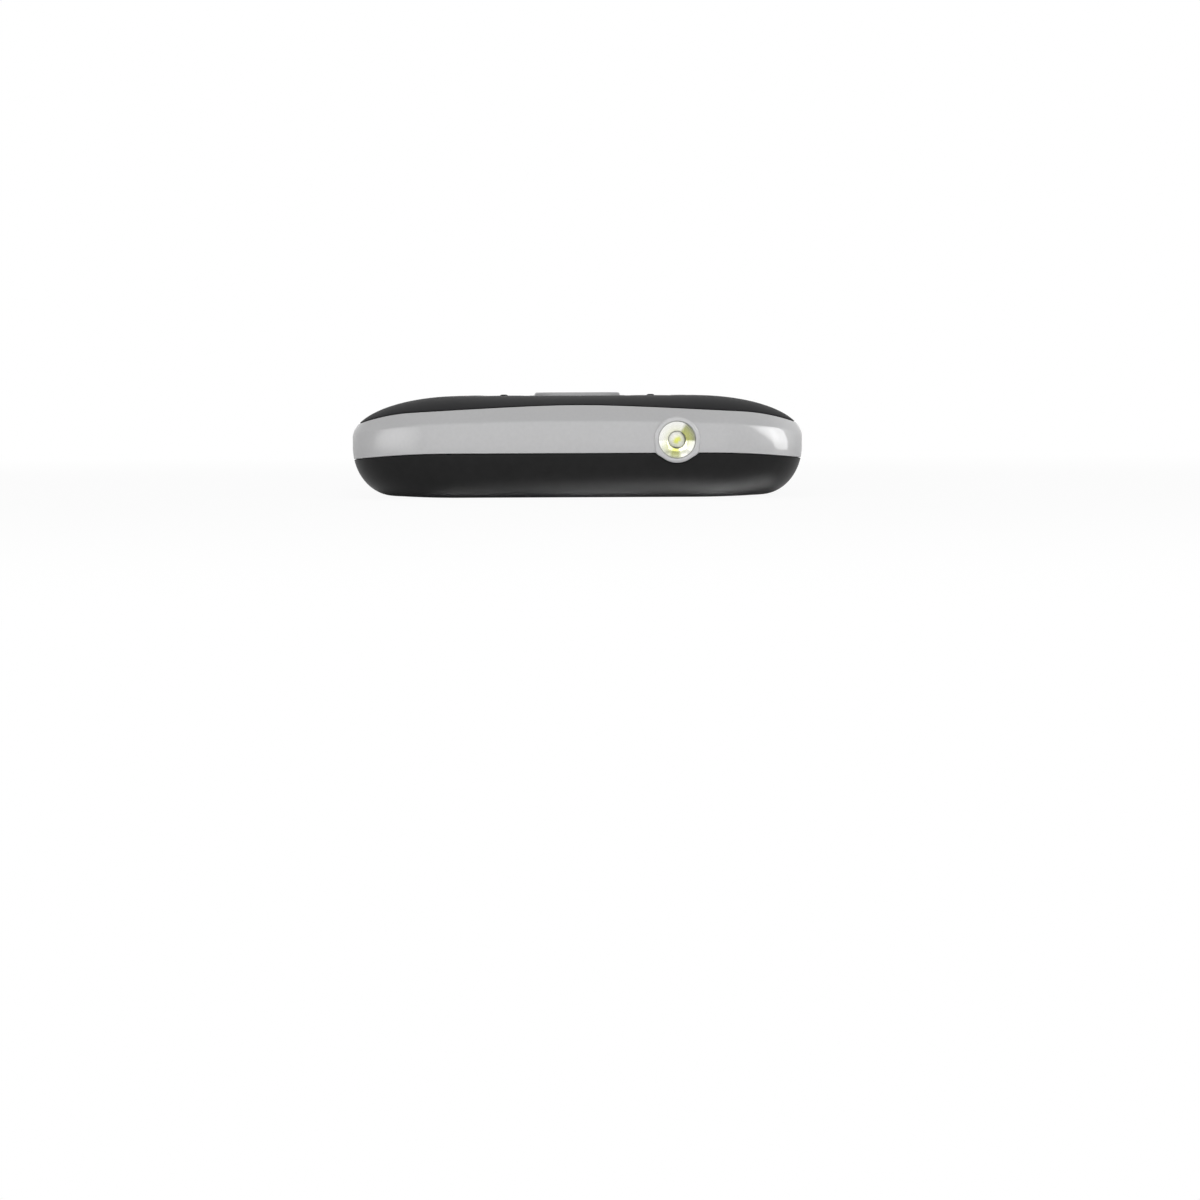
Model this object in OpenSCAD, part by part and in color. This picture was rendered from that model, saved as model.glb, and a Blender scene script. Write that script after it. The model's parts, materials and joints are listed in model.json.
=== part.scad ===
// Feature phone with a twelve-key pad, a rocker pad and a torch in its top end.
// The phone lies on its back: +X to the right of the screen, +Y towards the torch end,
// +Z out of the screen. The origin is under the middle of the phone, on the back face.
// All sizes are in millimetres.

/* [Body] */
// Width across the side frame
body_w = 50; // [46:0.5:54]
// Length from end to end
body_l = 114; // [104:0.5:124]
// Thickness from the back to the front face
body_t = 11.3; // [11:0.1:12.5]
// Plan radius of the corners
corner_r = 12; // [11:0.25:13]
// Fall of the rounded front flank, from the face down to the side wall
flank_drop = 4.6; // [4.1:0.1:4.8]
// Width of the rounded lower edge
heel_w = 4.6; // [4:0.1:5.5]
// Height of the rounded lower edge
heel_h = 5.4; // [5:0.1:5.6]
// Rise of the slightly bowed back towards its edge
back_crown = 0.25; // [0.1:0.05:0.4]

/* [Shells] */
// Wall of the front cover and of the side frame
wall = 1.2; // [1:0.05:1.3]
// Wall of the rear cover
cover_wall = 1.1; // [0.9:0.05:1.2]
// Height of the side frame's lower edge at the middle of an end
frame_low = 5; // [4.8:0.1:5.2]
// How far that lower edge dips at the sides
frame_low_dip = 0.72; // [0.3:0.05:0.9]
// Height of the side frame's upper edge at the middle of an end
frame_high = 10.27; // [9.9:0.05:10.4]
// Slope of that upper edge away from the middle
frame_high_slope = 0.058; // [0.03:0.002:0.07]
// How far that upper edge curls down at the sides
frame_high_curl = 1.13; // [0.8:0.05:1.2]
// Open seam between two shells
seam = 0.08; // [0.05:0.01:0.12]
// Height of the rear cover's locating lip above the frame's lowest edge
lip_rise = 0.7; // [0.4:0.1:0.9]
// Thickness of the locating lip
lip_t = 0.6; // [0.5:0.05:0.8]

/* [Torch] */
// Offset of the torch from the middle of the top end
torch_x = 10.83; // [8:0.1:12]
// Height of the torch's axis above the back
torch_z = 6.45; // [6:0.05:6.8]
// Outer radius of the torch's collar
collar_r = 2.5; // [2.3:0.05:2.7]
// Radius of the torch's bore
torch_bore_r = 2.02; // [1.8:0.02:2.1]
// How far the collar stands out of the end
collar_proud = 0.25; // [0.1:0.05:0.4]
// Depth of the collar behind its front
collar_depth = 3.6; // [3.3:0.1:4]
// Thickness of the torch's window at its rim
torch_lens_t = 0.55; // [0.4:0.05:0.7]
// Radius of the light emitter's dome
led_r = 0.95; // [0.8:0.05:1]
// Gap between the light emitter's dome and the torch's window
led_gap = 0.3; // [0.2:0.05:0.5]
// Rise of the reflector's bowl from its hole to its rim
bowl_rise = 0.5; // [0.4:0.05:0.8]

/* [Display] */
// Distance from a side to the display window
lens_side = 6; // [6:0.1:8]
// Gap between the rocker ring and the display window
lens_gap = 3.4; // [3:0.1:8]
// Corner radius of the display window
lens_r = 2.5; // [1.5:0.25:3.5]
// Thickness of the window at its middle
lens_t = 1.5; // [1.3:0.05:1.6]
// Distance from the top end to the window
lens_margin = 15; // [14.8:0.1:17]
// Ledge that the window rests on
lens_ledge = 2; // [1.5:0.1:2.5]
// Thickness of the display module
lcd_t = 1.8; // [1.6:0.05:1.9]
// Length of the earpiece slot
ear_slot_l = 10; // [8:0.5:12]
// Width of the earpiece slot
ear_slot_w = 1.4; // [1:0.1:1.6]

/* [Keys] */
// Distance from a side to the keys
key_side = 5.6; // [5.6:0.1:6.5]
// Height of a number key
key_h = 6.3; // [5.8:0.1:6.4]
// Gap between number keys
key_gap = 0.7; // [0.6:0.05:0.9]
// Corner radius of a number key
key_r = 1.6; // [0.8:0.1:2.4]
// How far a key stands out of the face
key_proud = 0.03; // [0:0.01:0.15]
// Clearance between a key and its opening
key_clear = 0.2; // [0.15:0.01:0.25]
// Flange that keeps a key under the cover
key_flange = 0.3; // [0.25:0.01:0.3]
// Travel of a key
key_travel = 0.3; // [0.2:0.01:0.35]
// Distance from the bottom end to the lowest number key
keypad_margin = 11; // [10.5:0.1:11.5]
// Width of the rocker ring
nav_w = 21; // [20:0.2:21.4]
// Height of the rocker ring
nav_h = 17; // [16:0.2:17.4]
// Corner radius of the rocker ring
nav_r = 6; // [5:0.25:7.5]
// Gap between the rocker ring and the keys round it
nav_gap = 1.3; // [1.2:0.05:1.6]
// Height of the touch ridges on the rocker ring
nav_ridge = 0.16; // [0.1:0.02:0.3]
// Width of a touch ridge
nav_ridge_w = 1; // [0.8:0.1:1.6]
// Distance from a touch ridge's middle to the ring's edge
nav_ridge_edge = 1.4; // [1.1:0.1:1.8]
// Width of the select key
select_w = 10.6; // [10:0.2:11.4]
// Height of the select key
select_h = 8; // [7.4:0.2:8.4]
// Corner radius of the select key
select_r = 3.4; // [2:0.2:3.6]
// How far the select key stands out of the face
select_proud = 0.4; // [0.2:0.02:0.5]
// Tilt of the rocker ring each way, in degrees
nav_tilt = 1.5; // [1:0.1:1.8]

/* [Inside] */
// Thickness of the battery
battery_t = 4; // [3.8:0.05:4.05]
// Distance from a side to the battery
battery_side = 7; // [6.8:0.1:9]
// Distance from the bottom end to the battery
battery_margin = 12; // [12:0.5:18]
// Thickness of the chassis floor
chassis_t = 0.8; // [0.7:0.05:0.85]
// Thickness of the main board
board_t = 0.8; // [0.6:0.05:0.85]
// Radius of the loudspeaker
speaker_r = 7; // [6:0.25:7.5]
// Radius of the vibration motor's can
motor_r = 1.9; // [1.6:0.05:2]
// Length of the vibration motor's can
motor_l = 8; // [7:0.25:9]
// Radius of a housing screw's thread
screw_r = 0.8; // [0.6:0.05:0.9]
// Width of the charging socket
usb_w = 7.5; // [7:0.1:7.8]
// Height of the charging socket
usb_h = 2.6; // [2.4:0.05:2.8]
// Depth of the charging socket
usb_d = 5.2; // [4.6:0.1:5.6]

/* [Hidden] */
$fn = 48;
fine = 0.05;          // cutters run this far past the face that they cut
fit = 0.1;            // clearance between pieces that seat in each other
flank_steps = 12;     // straight stretches in a quarter of the front flank
heel_steps = 9;       // straight stretches in a quarter of the lower edge
crown_steps = 3;      // straight stretches in half of the bowed back

// Middle of a corner's arc in plan.
corner_cx = body_w / 2 - corner_r;
corner_cy = body_l / 2 - corner_r;

// Heights of the body's surface.
flank_z = body_t - flank_drop;
heel_z = back_crown + heel_h;
inner_top = body_t - wall;

// Heights of the stack, from the back to the keys.
cell_z0 = cover_wall + 0.15;
chassis_z0 = cell_z0 + battery_t + fit;
chassis_z1 = chassis_z0 + chassis_t;
board_z1 = chassis_z1 + board_t;
film_t = 0.1;
film_z1 = board_z1 + film_t;
dome_h = 0.25;
web_z0 = film_z1 + dome_h + key_travel + 0.15;
web_z1 = web_z0 + 0.3;
pad_z1 = web_z1 + 0.25;
flange_t = 0.6;
flange_z1 = pad_z1 + flange_t;
pivot_r = 0.3;
pivot_gap = 0.02;
nav_swing = nav_w / 2 * sin(nav_tilt) + 0.08;
nav_plate_z0 = web_z1 + nav_swing;
nav_plate_z1 = nav_plate_z0 + 0.3;
nav_ring_z0 = nav_plate_z1 + nav_swing;
nav_flange_t = 0.5;
flex_t = 0.15;
lcd_z0 = board_z1 + flex_t + 0.05;
lcd_z1 = lcd_z0 + lcd_t;
gasket_t = 0.25;
bezel_z0 = lcd_z1 + gasket_t;
lens_z0 = body_t - lens_t;

// Sizes and places of the controls on the face, from the bottom end upwards.
key_w = (body_w - 2 * key_side - 2 * key_gap) / 3;
key_pitch_x = key_w + key_gap;
key_pitch_y = key_h + key_gap;
key_rows = 4;
keypad_y0 = -body_l / 2 + keypad_margin;
keypad_top = keypad_y0 + key_rows * key_pitch_y - key_gap;
nav_y = keypad_top + nav_gap + nav_h / 2;
side_key_gap = nav_gap - 0.2;
side_key_w = body_w / 2 - key_side - nav_w / 2 - side_key_gap;
side_key_h = (nav_h - 1) / 2;
side_key_x = nav_w / 2 + side_key_gap + side_key_w / 2;
side_key_y = (nav_h - side_key_h) / 2;
lens_w = body_w - 2 * lens_side;
lens_l = body_l / 2 - lens_margin - lens_gap - nav_y - nav_h / 2;
lens_y = body_l / 2 - lens_margin - lens_l / 2;
bezel_rim = 1.2;
ear_y = body_l / 2 - lens_margin + bezel_rim + ear_slot_w / 2 + 0.5;

// Places inside the phone.
torch_y = body_l / 2 + collar_proud;
collar_y0 = torch_y - collar_depth;
board_y1 = collar_y0 - 1.6;
torch_lens_y0 = torch_y - 0.12 - torch_lens_t;
led_crown = 0.75 * led_r;
led_h = torch_lens_y0 - led_gap - led_crown - collar_y0;
board_y0 = -body_l / 2 + 4.5;
usb_y = -body_l / 2 + 1;
usb_z = board_z1 - 0.2;
mic_x = 10;
mic_z = board_z1 + 0.6;
speaker_x = body_w / 2 - 14;
speaker_y = body_l / 2 - 24;
motor_x = 13 - body_w / 2;
motor_y = speaker_y - 4;
motor_z = (cover_wall + chassis_z0) / 2;
weight_gap = 0.5;
weight_l = 3;
card_l = 14;
card_y = speaker_y - speaker_r - 5 - card_l / 2;
screw_top_in = 9;
screw_mid_in = 4;
head_r = 1.9 * screw_r;
head_clear = 0.6;
card_x0 = -1.5;
card_x1 = body_w / 2 - screw_mid_in - head_r - head_clear;
can_x0 = -card_x1;
can_x1 = -4;
bay_wall = 1;
battery_w = body_w - 2 * battery_side;
battery_y0 = -body_l / 2 + battery_margin;
battery_y1 = card_y - card_l / 2 - 4;
battery_l = battery_y1 - battery_y0;
cell_y = (battery_y0 + battery_y1) / 2;
antenna_x0 = 5 - torch_x;
antenna_x1 = body_w / 2 - screw_top_in - head_r - head_clear;
contact_w = 9.6;
boss_r = 2 * screw_r;
screw_places = [for (sx = [-1, 1]) each [
    [sx * (body_w / 2 - screw_top_in), body_l / 2 - 7],
    [sx * (body_w / 2 - screw_mid_in), nav_y + nav_h / 2 + 4.4],
    [sx * (body_w / 2 - 8), -body_l / 2 + 7.5]]];

number_keys = ["key_1", "key_2", "key_3", "key_4", "key_5", "key_6",
    "key_7", "key_8", "key_9", "key_star", "key_0", "key_hash"];

// Profile of the body's edge as points [distance in from the wall, height].
function flank(inset) = [for (i = [0:flank_steps]) let (a = 90 - 90 * i / flank_steps)
    [corner_r - (corner_r - inset) * cos(a), flank_z + (flank_drop - inset) * sin(a)]];
function heel(inset, base) = [for (i = [0:heel_steps]) let (a = 90 * i / heel_steps)
    [heel_w - (heel_w - inset) * cos(a), heel_z - (heel_z - base) * sin(a)]];
function crown(rise) = [for (i = [1:crown_steps]) let (s = i / crown_steps)
    [heel_w + (corner_r - heel_w) * s, rise * pow(1 - s, 2)]];
outer_edge = concat(flank(0), heel(0, back_crown), crown(back_crown));
inner_edge = concat(flank(wall), heel(cover_wall, cover_wall), [[corner_r, cover_wall]]);

// Cross-section from side to side, lifted by a little where a key stands proud.
function section(edge, lift = 0) = concat(
    [for (p = edge) [body_w / 2 - p.x, p.y + lift]],
    [for (i = [len(edge) - 1:-1:0]) [edge[i].x - body_w / 2, edge[i].y + lift]]);

// Heights of the two seams at a distance x from the middle; each curls near the sides.
low_run = 11;
high_run = 7;
function curl(x, run) = pow(max(0, abs(x) - body_w / 2 + run) / run, 2);
function low_seam(x) = frame_low - frame_low_dip * curl(x, low_run);
function high_seam(x) = frame_high - frame_high_slope * (sqrt(x * x + 36) - 6)
    - frame_high_curl * curl(x, high_run);
seam_stops = [0.16, 0.28, 0.4, 0.52, 0.64, 0.72, 0.8, 0.84, 0.88, 0.92, 0.96];
seam_half = body_w / 2 + 1;
seam_side = concat([for (s = seam_stops) s * body_w / 2], [seam_half]);
seam_xs = concat([for (i = [len(seam_side) - 1:-1:0]) -seam_side[i]], [0], seam_side);

module along_y(length) {
    translate([0, length / 2, 0]) rotate([90, 0, 0]) linear_extrude(length) children();
}

// A body with that edge: a long section, two ends and four corners.
module body(edge) {
    along_y(2 * corner_cy) polygon(section(edge));
    for (sy = [0, 1]) mirror([0, sy, 0]) {
        rotate([0, 0, 90]) translate([body_l / 2 - corner_r, 0, 0]) along_y(2 * corner_cx)
            polygon([for (p = edge) [corner_r - p.x, p.y]]);
        for (sx = [0, 1]) mirror([sx, 0, 0])
            translate([corner_cx, corner_cy, 0]) rotate_extrude(angle = 90)
                polygon([for (p = edge) [corner_r - p.x, p.y]]);
    }
}

// Height of the front surface at a distance in from the wall, and that distance in plan.
function front_z(u, inset) = flank_z + (flank_drop - inset)
    * sqrt(1 - pow(max(0, corner_r - u) / (corner_r - inset), 2));
function from_wall(p) = let (x = abs(p.x), y = abs(p.y))
    x > corner_cx && y > corner_cy ? corner_r - norm([x - corner_cx, y - corner_cy])
        : min(body_w / 2 - x, body_l / 2 - y);
// The front cover laps over the frame from here inwards.
lap_inset = 0.8 + corner_r * (1 - sqrt(1 - pow((frame_high - flank_z) / flank_drop, 2)));

// Everything over the upper seam, or under the lower one.
module above_seam(gap) {
    along_y(body_l + 2) polygon(concat([for (x = seam_xs) [x, high_seam(x) + gap]],
        [[seam_half, body_t + 2], [-seam_half, body_t + 2]]));
}
module below_seam(gap) {
    along_y(body_l + 2) polygon(concat([for (x = seam_xs) [x, low_seam(x) - gap]],
        [[seam_half, -2], [-seam_half, -2]]));
}

// A rectangle with round corners, centred, and a plate of that shape between two heights.
module round_rect(w, h, r) {
    square([w - 2 * r, h], center = true);
    square([w, h - 2 * r], center = true);
    for (sx = [-1, 1], sy = [-1, 1]) translate([sx * (w / 2 - r), sy * (h / 2 - r)]) circle(r);
}
// Plan outline of the body at a distance in from the wall.
module outline(inset) {
    round_rect(body_w - 2 * inset, body_l - 2 * inset, corner_r - inset);
}
module plate(w, h, r, z0, z1) {
    translate([0, 0, z0]) linear_extrude(z1 - z0) round_rect(w, h, r);
}
module block(w, h, z0, z1) {
    translate([-w / 2, -h / 2, z0]) cube([w, h, z1 - z0]);
}
// A rod along +Y from y0 to y1, centred on x and z.
module rod_y(x, z, r, y0, y1) {
    translate([x, y1, z]) rotate([90, 0, 0]) cylinder(r = r, h = y1 - y0);
}

// Openings and outlines of the controls.
module at_number_key(i) {
    column = i % 3 - 1;
    row = key_rows - 1 - floor(i / 3);
    translate([column * key_pitch_x, keypad_y0 + key_h / 2 + row * key_pitch_y, 0]) children();
}
module at_side_key(sx, sy) {
    translate([sx * side_key_x, nav_y + sy * side_key_y, 0]) children();
}
module control_openings() {
    for (i = [0:11]) at_number_key(i) round_rect(key_w + 2 * key_clear, key_h + 2 * key_clear, key_r);
    for (sx = [-1, 1], sy = [-1, 1]) at_side_key(sx, sy)
        round_rect(side_key_w + 2 * key_clear, side_key_h + 2 * key_clear, key_r);
    translate([0, nav_y]) round_rect(nav_w + 2 * key_clear, nav_h + 2 * key_clear, nav_r);
}

// The dark front: a thin shell with a bezel round the display and bosses for the screws.
module front_cover() color("#303032") {
    difference() {
        union() {
            difference() {
                intersection() {
                    body(outer_edge);
                    union() {
                        above_seam(seam / 2);
                        linear_extrude(body_t + 1) outline(lap_inset + seam / 2);
                    }
                }
                body(inner_edge);
                translate([0, 0, -1]) linear_extrude(flank_z) outline(0);
            }
            intersection() {
                translate([0, lens_y, 0])
                    plate(lens_w + 2 * bezel_rim, lens_l + 2 * bezel_rim, lens_r + bezel_rim,
                        bezel_z0, body_t);
                along_y(2 * corner_cy + 12) polygon(section(outer_edge, -wall / 2));
                linear_extrude(body_t) outline(lap_inset + seam / 2);
            }
            for (p = screw_places) let (u = from_wall(p))
                translate([p.x, p.y, board_z1]) cylinder(r = boss_r,
                    h = (front_z(u - boss_r, 0) + front_z(u + boss_r, wall)) / 2 - board_z1);
        }
        translate([0, lens_y, 0]) {
            plate(lens_w + 2 * fit, lens_l + 2 * fit, lens_r, lens_z0, body_t + 1);
            plate(lens_w - 2 * lens_ledge, lens_l - 2 * lens_ledge, lens_r, bezel_z0 - 1, body_t);
        }
        translate([0, 0, board_z1]) linear_extrude(body_t) control_openings();
        translate([0, ear_y, 0])
            plate(ear_slot_l, ear_slot_w, ear_slot_w / 2 - 0.01, inner_top - 2, body_t + 1);
        for (p = screw_places) translate([p.x, p.y, board_z1 - fine])
            cylinder(r = screw_r + fine, h = 1.8);
    }
}

// The silver band round the edge, with the torch's collar and the socket's opening.
module collar_outline(grow) {
    flare_z = frame_low - torch_z;
    circle(collar_r + grow);
    polygon([[-collar_r + 0.14 - grow, flare_z], [collar_r - 0.14 + grow, flare_z],
        [0.6 * collar_r, -0.8 * collar_r - grow], [-0.6 * collar_r, -0.8 * collar_r - grow]]);
}
module at_collar(length) {
    translate([-torch_x, torch_y, torch_z]) rotate([90, 0, 0]) linear_extrude(length) children();
}
module side_frame() color("#b9b9bb") {
    difference() {
        union() {
            difference() {
                body(outer_edge);
                above_seam(-seam / 2);
                below_seam(-seam / 2);
                linear_extrude(body_t + 1) outline(lap_inset - seam / 2);
                body(inner_edge);
            }
            at_collar(collar_depth) collar_outline(0);
        }
        for (p = screw_places) translate([p.x, p.y, board_z1]) cylinder(r = boss_r + fit, h = body_t);
        rod_y(-torch_x, torch_z, torch_bore_r, collar_y0 - 1, torch_y + 1);
        translate([0, usb_y - 2, usb_z]) rotate([90, 0, 0]) linear_extrude(10, center = true)
            round_rect(usb_w + 2 * fit, usb_h + 2 * fit, 0.9);
        rod_y(mic_x, mic_z, 0.5, -body_l / 2 - 1, -body_l / 2 + 5);
    }
}

// The black back, with a lip that locates it inside the frame.
module rear_cover() color("#202021") {
    lip_inset = wall + fit;
    lip_z1 = frame_low - frame_low_dip + lip_rise;
    difference() {
        union() {
            difference() {
                intersection() {
                    body(outer_edge);
                    below_seam(seam / 2);
                }
                body(inner_edge);
            }
            translate([0, 0, heel_z / 2]) linear_extrude(lip_z1 - heel_z / 2) difference() {
                outline(lip_inset);
                outline(lip_inset + lip_t);
            }
        }
        at_collar(collar_depth + 6) collar_outline(fit);
        for (i = [-2:2]) translate([speaker_x + 2.2 * i, speaker_y, 0])
            plate(1, 8 - abs(i) * 1.2, 0.49, -1, cover_wall + 1);
        translate([0, -body_l / 2, frame_low]) cube([9, 1.6, 1.6], center = true);
    }
}

// The moulded frame inside: a floor over the battery, the battery bay and the mounts.
module chassis() color("#3a3a3d") {
    bay_w = battery_w + 2 * fit;
    bay_l = battery_l + 2 * fit;
    difference() {
        union() {
            translate([0, 0, chassis_z0]) linear_extrude(chassis_t) outline(wall + fit);
            translate([0, cell_y, 0]) difference() {
                block(bay_w + 2 * bay_wall, bay_l + 2 * bay_wall, cover_wall + 0.3, chassis_z0 + fine);
                block(bay_w, bay_l, 0, chassis_z0);
            }
            translate([speaker_x, speaker_y, cover_wall + 0.6])
                cylinder(r = speaker_r + 0.9, h = chassis_z0 - cover_wall - 0.6 + fine);
            translate([motor_x, motor_y, 0])
                block(motor_l - 2, 2 * motor_r + 1.6, motor_z, chassis_z0 + fine);
        }
        translate([speaker_x, speaker_y, 0]) cylinder(r = speaker_r + fit, h = chassis_z0);
        translate([motor_x - motor_l, motor_y, motor_z]) rotate([0, 90, 0])
            cylinder(r = motor_r + fine, h = 2 * motor_l);
        translate([0, cell_y + battery_l / 2, 0]) block(contact_w + 0.6, 4, 0, chassis_z1 + 1);
        translate([-torch_x, collar_y0, 0]) block(7.2, 4, 0, body_t);
        translate([-torch_x, collar_y0 + 2, 0]) block(7.2, 6, 0, body_t);
        translate([0, usb_y, 0]) block(usb_w + 0.8, 2 * usb_d + 0.8, 0, body_t);
        translate([(can_x0 + can_x1) / 2, card_y, 0]) block(can_x1 - can_x0 + 1, card_l + 1, 0, body_t);
        for (p = screw_places) translate([p.x, p.y, 0]) cylinder(r = screw_r + fit, h = body_t);
    }
}

// Clear window over the display, bowed like the front.
module display_lens() color("#0c0d10") {
    intersection() {
        translate([0, lens_y, 0]) plate(lens_w, lens_l, lens_r, lens_z0, body_t);
        along_y(2 * corner_cy + 12) polygon(section(outer_edge));
    }
}
module display_gasket() color("#1a1a1a") {
    translate([0, lens_y, 0]) difference() {
        block(lens_w - 3, lens_l - 0.6, lcd_z1, bezel_z0);
        block(lens_w - 5, lens_l - 3.6, 0, body_t);
    }
}
module display_module() color("#7e858c") {
    translate([0, lens_y, 0]) {
        block(lens_w - 3, lens_l - 0.6, lcd_z0, lcd_z1 - 0.3);
        difference() {
            block(lens_w - 3, lens_l - 0.6, lcd_z1 - 0.3 - fine, lcd_z1);
            block(lens_w - 5.6, lens_l - 4.2, lcd_z1 - 0.15, body_t);
        }
    }
}
module display_flex() color("#b5762a") {
    translate([0, lens_y - 6, 0]) {
        block(14, lens_l / 2, board_z1, board_z1 + flex_t);
        translate([0, -lens_l / 4, 0]) block(18, 4, board_z1, board_z1 + flex_t);
    }
}

// Earpiece: a fine mesh in the slot, and the small speaker under it.
module earpiece_mesh() color("#4a4a4c") {
    translate([0, ear_y, 0]) difference() {
        plate(ear_slot_l - 0.1, ear_slot_w - 0.1, ear_slot_w / 2 - 0.1, inner_top, inner_top + 0.45);
        for (i = [-5:5]) translate([i * ear_slot_l / 13, 0, 0]) block(0.35, ear_slot_w - 0.7, 0, body_t);
    }
}
module earpiece_speaker() color("#9b9ba0") {
    translate([0, ear_y + 1.6, 0]) {
        plate(11, 4.4, 1.2, board_z1, board_z1 + 1.5);
        plate(9.6, 3.2, 1, board_z1 + 1.5 - fine, board_z1 + 1.8);
    }
}

// Torch: window, reflector, emitter and its little board, in line behind the collar.
module torch_lens() color("#f4f6ee", 0.6) {
    r = torch_bore_r - fine;
    translate([-torch_x, torch_lens_y0, torch_z]) rotate([-90, 0, 0]) rotate_extrude()
        polygon(concat([[0, 0], [r, 0], [r, torch_lens_t - 0.25]],
            [for (i = [0:6]) let (s = 1 - i / 6) [(r - 0.15) * s, torch_lens_t - 0.25 * s * s]]));
}
module torch_reflector() color("#e8e8e2") {
    back = collar_y0 + fine;
    depth = torch_lens_y0 - fine - back;
    r = torch_bore_r - fine;
    hole_r = led_r + 0.1;
    rim_r = r - 0.12;
    translate([-torch_x, back, torch_z]) rotate([-90, 0, 0]) rotate_extrude()
        polygon(concat([[hole_r, 0], [r, 0], [r, depth]],
            [for (i = [0:8]) let (s = 1 - i / 8)
                [hole_r + (rim_r - hole_r) * s, depth - bowl_rise * (1 - pow(s, 1.4))]]));
}
module torch_led() color("#f2e34a") {
    translate([-torch_x, collar_y0, torch_z]) rotate([-90, 0, 0]) rotate_extrude()
        polygon(concat([[0, 0], [led_r, 0]],
            [for (i = [0:8]) let (a = 90 * i / 8) [led_r * cos(a), led_h + led_crown * sin(a)]]));
}
module torch_board() color("#1f5a3a") {
    translate([-torch_x, collar_y0, torch_z - 0.25]) rotate([90, 0, 0]) linear_extrude(0.8)
        round_rect(5.4, 4.2, 0.4);
}

// Main circuit board, with its shield, and the sheet of snap domes under the keys.
module main_board() color("#1f5a3a") {
    w = body_w - 2 * (wall + 1);
    translate([0, 0, chassis_z1]) linear_extrude(board_t) difference() {
        translate([0, (board_y0 + board_y1) / 2]) round_rect(w, board_y1 - board_y0, corner_r - 2.2);
        translate([0, usb_y]) square([usb_w + 0.8, 2 * usb_d + 0.8], center = true);
        for (p = screw_places) translate(p) circle(screw_r + fit);
    }
}
module shield_can() color("#c8c8cc") {
    w = can_x1 - can_x0;
    sheet = 0.2;
    translate([can_x0 + w / 2, card_y, 0]) difference() {
        block(w, card_l, chassis_z1 - 1.5, chassis_z1);
        block(w - 2 * sheet, card_l - 2 * sheet, chassis_z1 - 1.5 + sheet, body_t);
    }
}
module dome(r) {
    translate([0, 0, film_z1 - fine]) rotate_extrude()
        polygon(concat([[0, 0], [r, 0]],
            [for (i = [0:5]) let (s = 1 - i / 5) [r * s, fine + dome_h * (1 - s * s)]]));
}
module dome_sheet() color("#c9b98a") {
    translate([0, (keypad_y0 + nav_y + nav_h / 2) / 2, 0])
        block(2 * (key_pitch_x + key_w / 2) + 1, nav_y + nav_h / 2 - keypad_y0 + 1, board_z1, film_z1);
    for (i = [0:11]) at_number_key(i) dome(2.5);
    for (sx = [-1, 1], sy = [-1, 1]) at_side_key(sx, sy) dome(2.5);
    translate([0, nav_y, 0]) {
        dome(2.5);
        for (a = [0, 180]) rotate(a) translate([nav_w / 2 - 2.6, 0, 0]) dome(2);
        for (a = [90, 270]) rotate(a) translate([nav_h / 2 - 2.1, 0, 0]) dome(2);
    }
}

// Silicone mat: a rim that stands on the dome sheet, a web, and a pad with a post for each key.
module mat_post() {
    translate([0, 0, film_z1 + dome_h + fine]) cylinder(r = 1, h = web_z0 - film_z1 - dome_h);
}
module keypad_mat() color("#8f9296") {
    w = 2 * (key_pitch_x + key_w / 2) + 0.8;
    l = nav_y + nav_h / 2 - keypad_y0 + 0.8;
    translate([0, (keypad_y0 + nav_y + nav_h / 2) / 2, 0]) difference() {
        block(w, l, film_z1, web_z1);
        block(w - 1.2, l - 1.2, 0, web_z0);
    }
    for (i = [0:11]) at_number_key(i) {
        plate(key_w - 1, key_h - 1, 1, web_z1 - fine, pad_z1);
        mat_post();
    }
    for (sx = [-1, 1], sy = [-1, 1]) at_side_key(sx, sy) {
        plate(side_key_w - 1, side_key_h - 1, 1, web_z1 - fine, pad_z1);
        mat_post();
    }
    translate([0, nav_y, 0]) {
        plate(select_w - 1, select_h - 1, 1, web_z1 - fine, pad_z1);
        mat_post();
        for (a = [0, 180]) rotate(a) translate([nav_w / 2 - 2.6, 0, 0]) mat_post();
        for (a = [90, 270]) rotate(a) translate([nav_h / 2 - 2.1, 0, 0]) mat_post();
    }
}

// Rocker: a ring that tips up and down on a plate that tips left and right, each on round pivots.
module ring_outline(grow) {
    difference() {
        round_rect(nav_w + 2 * grow, nav_h + 2 * grow, nav_r + grow);
        round_rect(select_w + 2 * key_clear + 0.1, select_h + 2 * key_clear + 0.1, select_r + 0.2);
    }
}
module nav_plate() color("#6d7074") {
    hole_w = select_w + 2 * key_flange + 1.2;
    hole_h = select_h + 2 * key_flange + 1.2;
    translate([0, nav_y, 0]) difference() {
        union() {
            plate(nav_w - 1, nav_h - 1, nav_r - 0.5, nav_plate_z0, nav_plate_z1);
            rotate([0, 0, 90])
                rod_y(0, nav_ring_z0 - pivot_gap - pivot_r, pivot_r, 1 - nav_w / 2, nav_w / 2 - 1);
            rod_y(0, web_z1 + pivot_gap + pivot_r, pivot_r, 1 - nav_h / 2, nav_h / 2 - 1);
        }
        plate(hole_w, hole_h, 2.4, 0, body_t);
    }
}
module nav_ring() color("#2a2a2c") {
    translate([0, nav_y, 0]) {
        translate([0, 0, nav_ring_z0]) linear_extrude(nav_flange_t) ring_outline(key_flange);
        translate([0, 0, nav_ring_z0]) linear_extrude(body_t - nav_ring_z0) ring_outline(0);
        for (s = [-1, 1]) translate([s * (nav_w / 2 - nav_ridge_edge), 0, 0])
            plate(nav_ridge_w, 4, nav_ridge_w / 2 - 0.01, body_t - fine, body_t + nav_ridge);
    }
}
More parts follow.
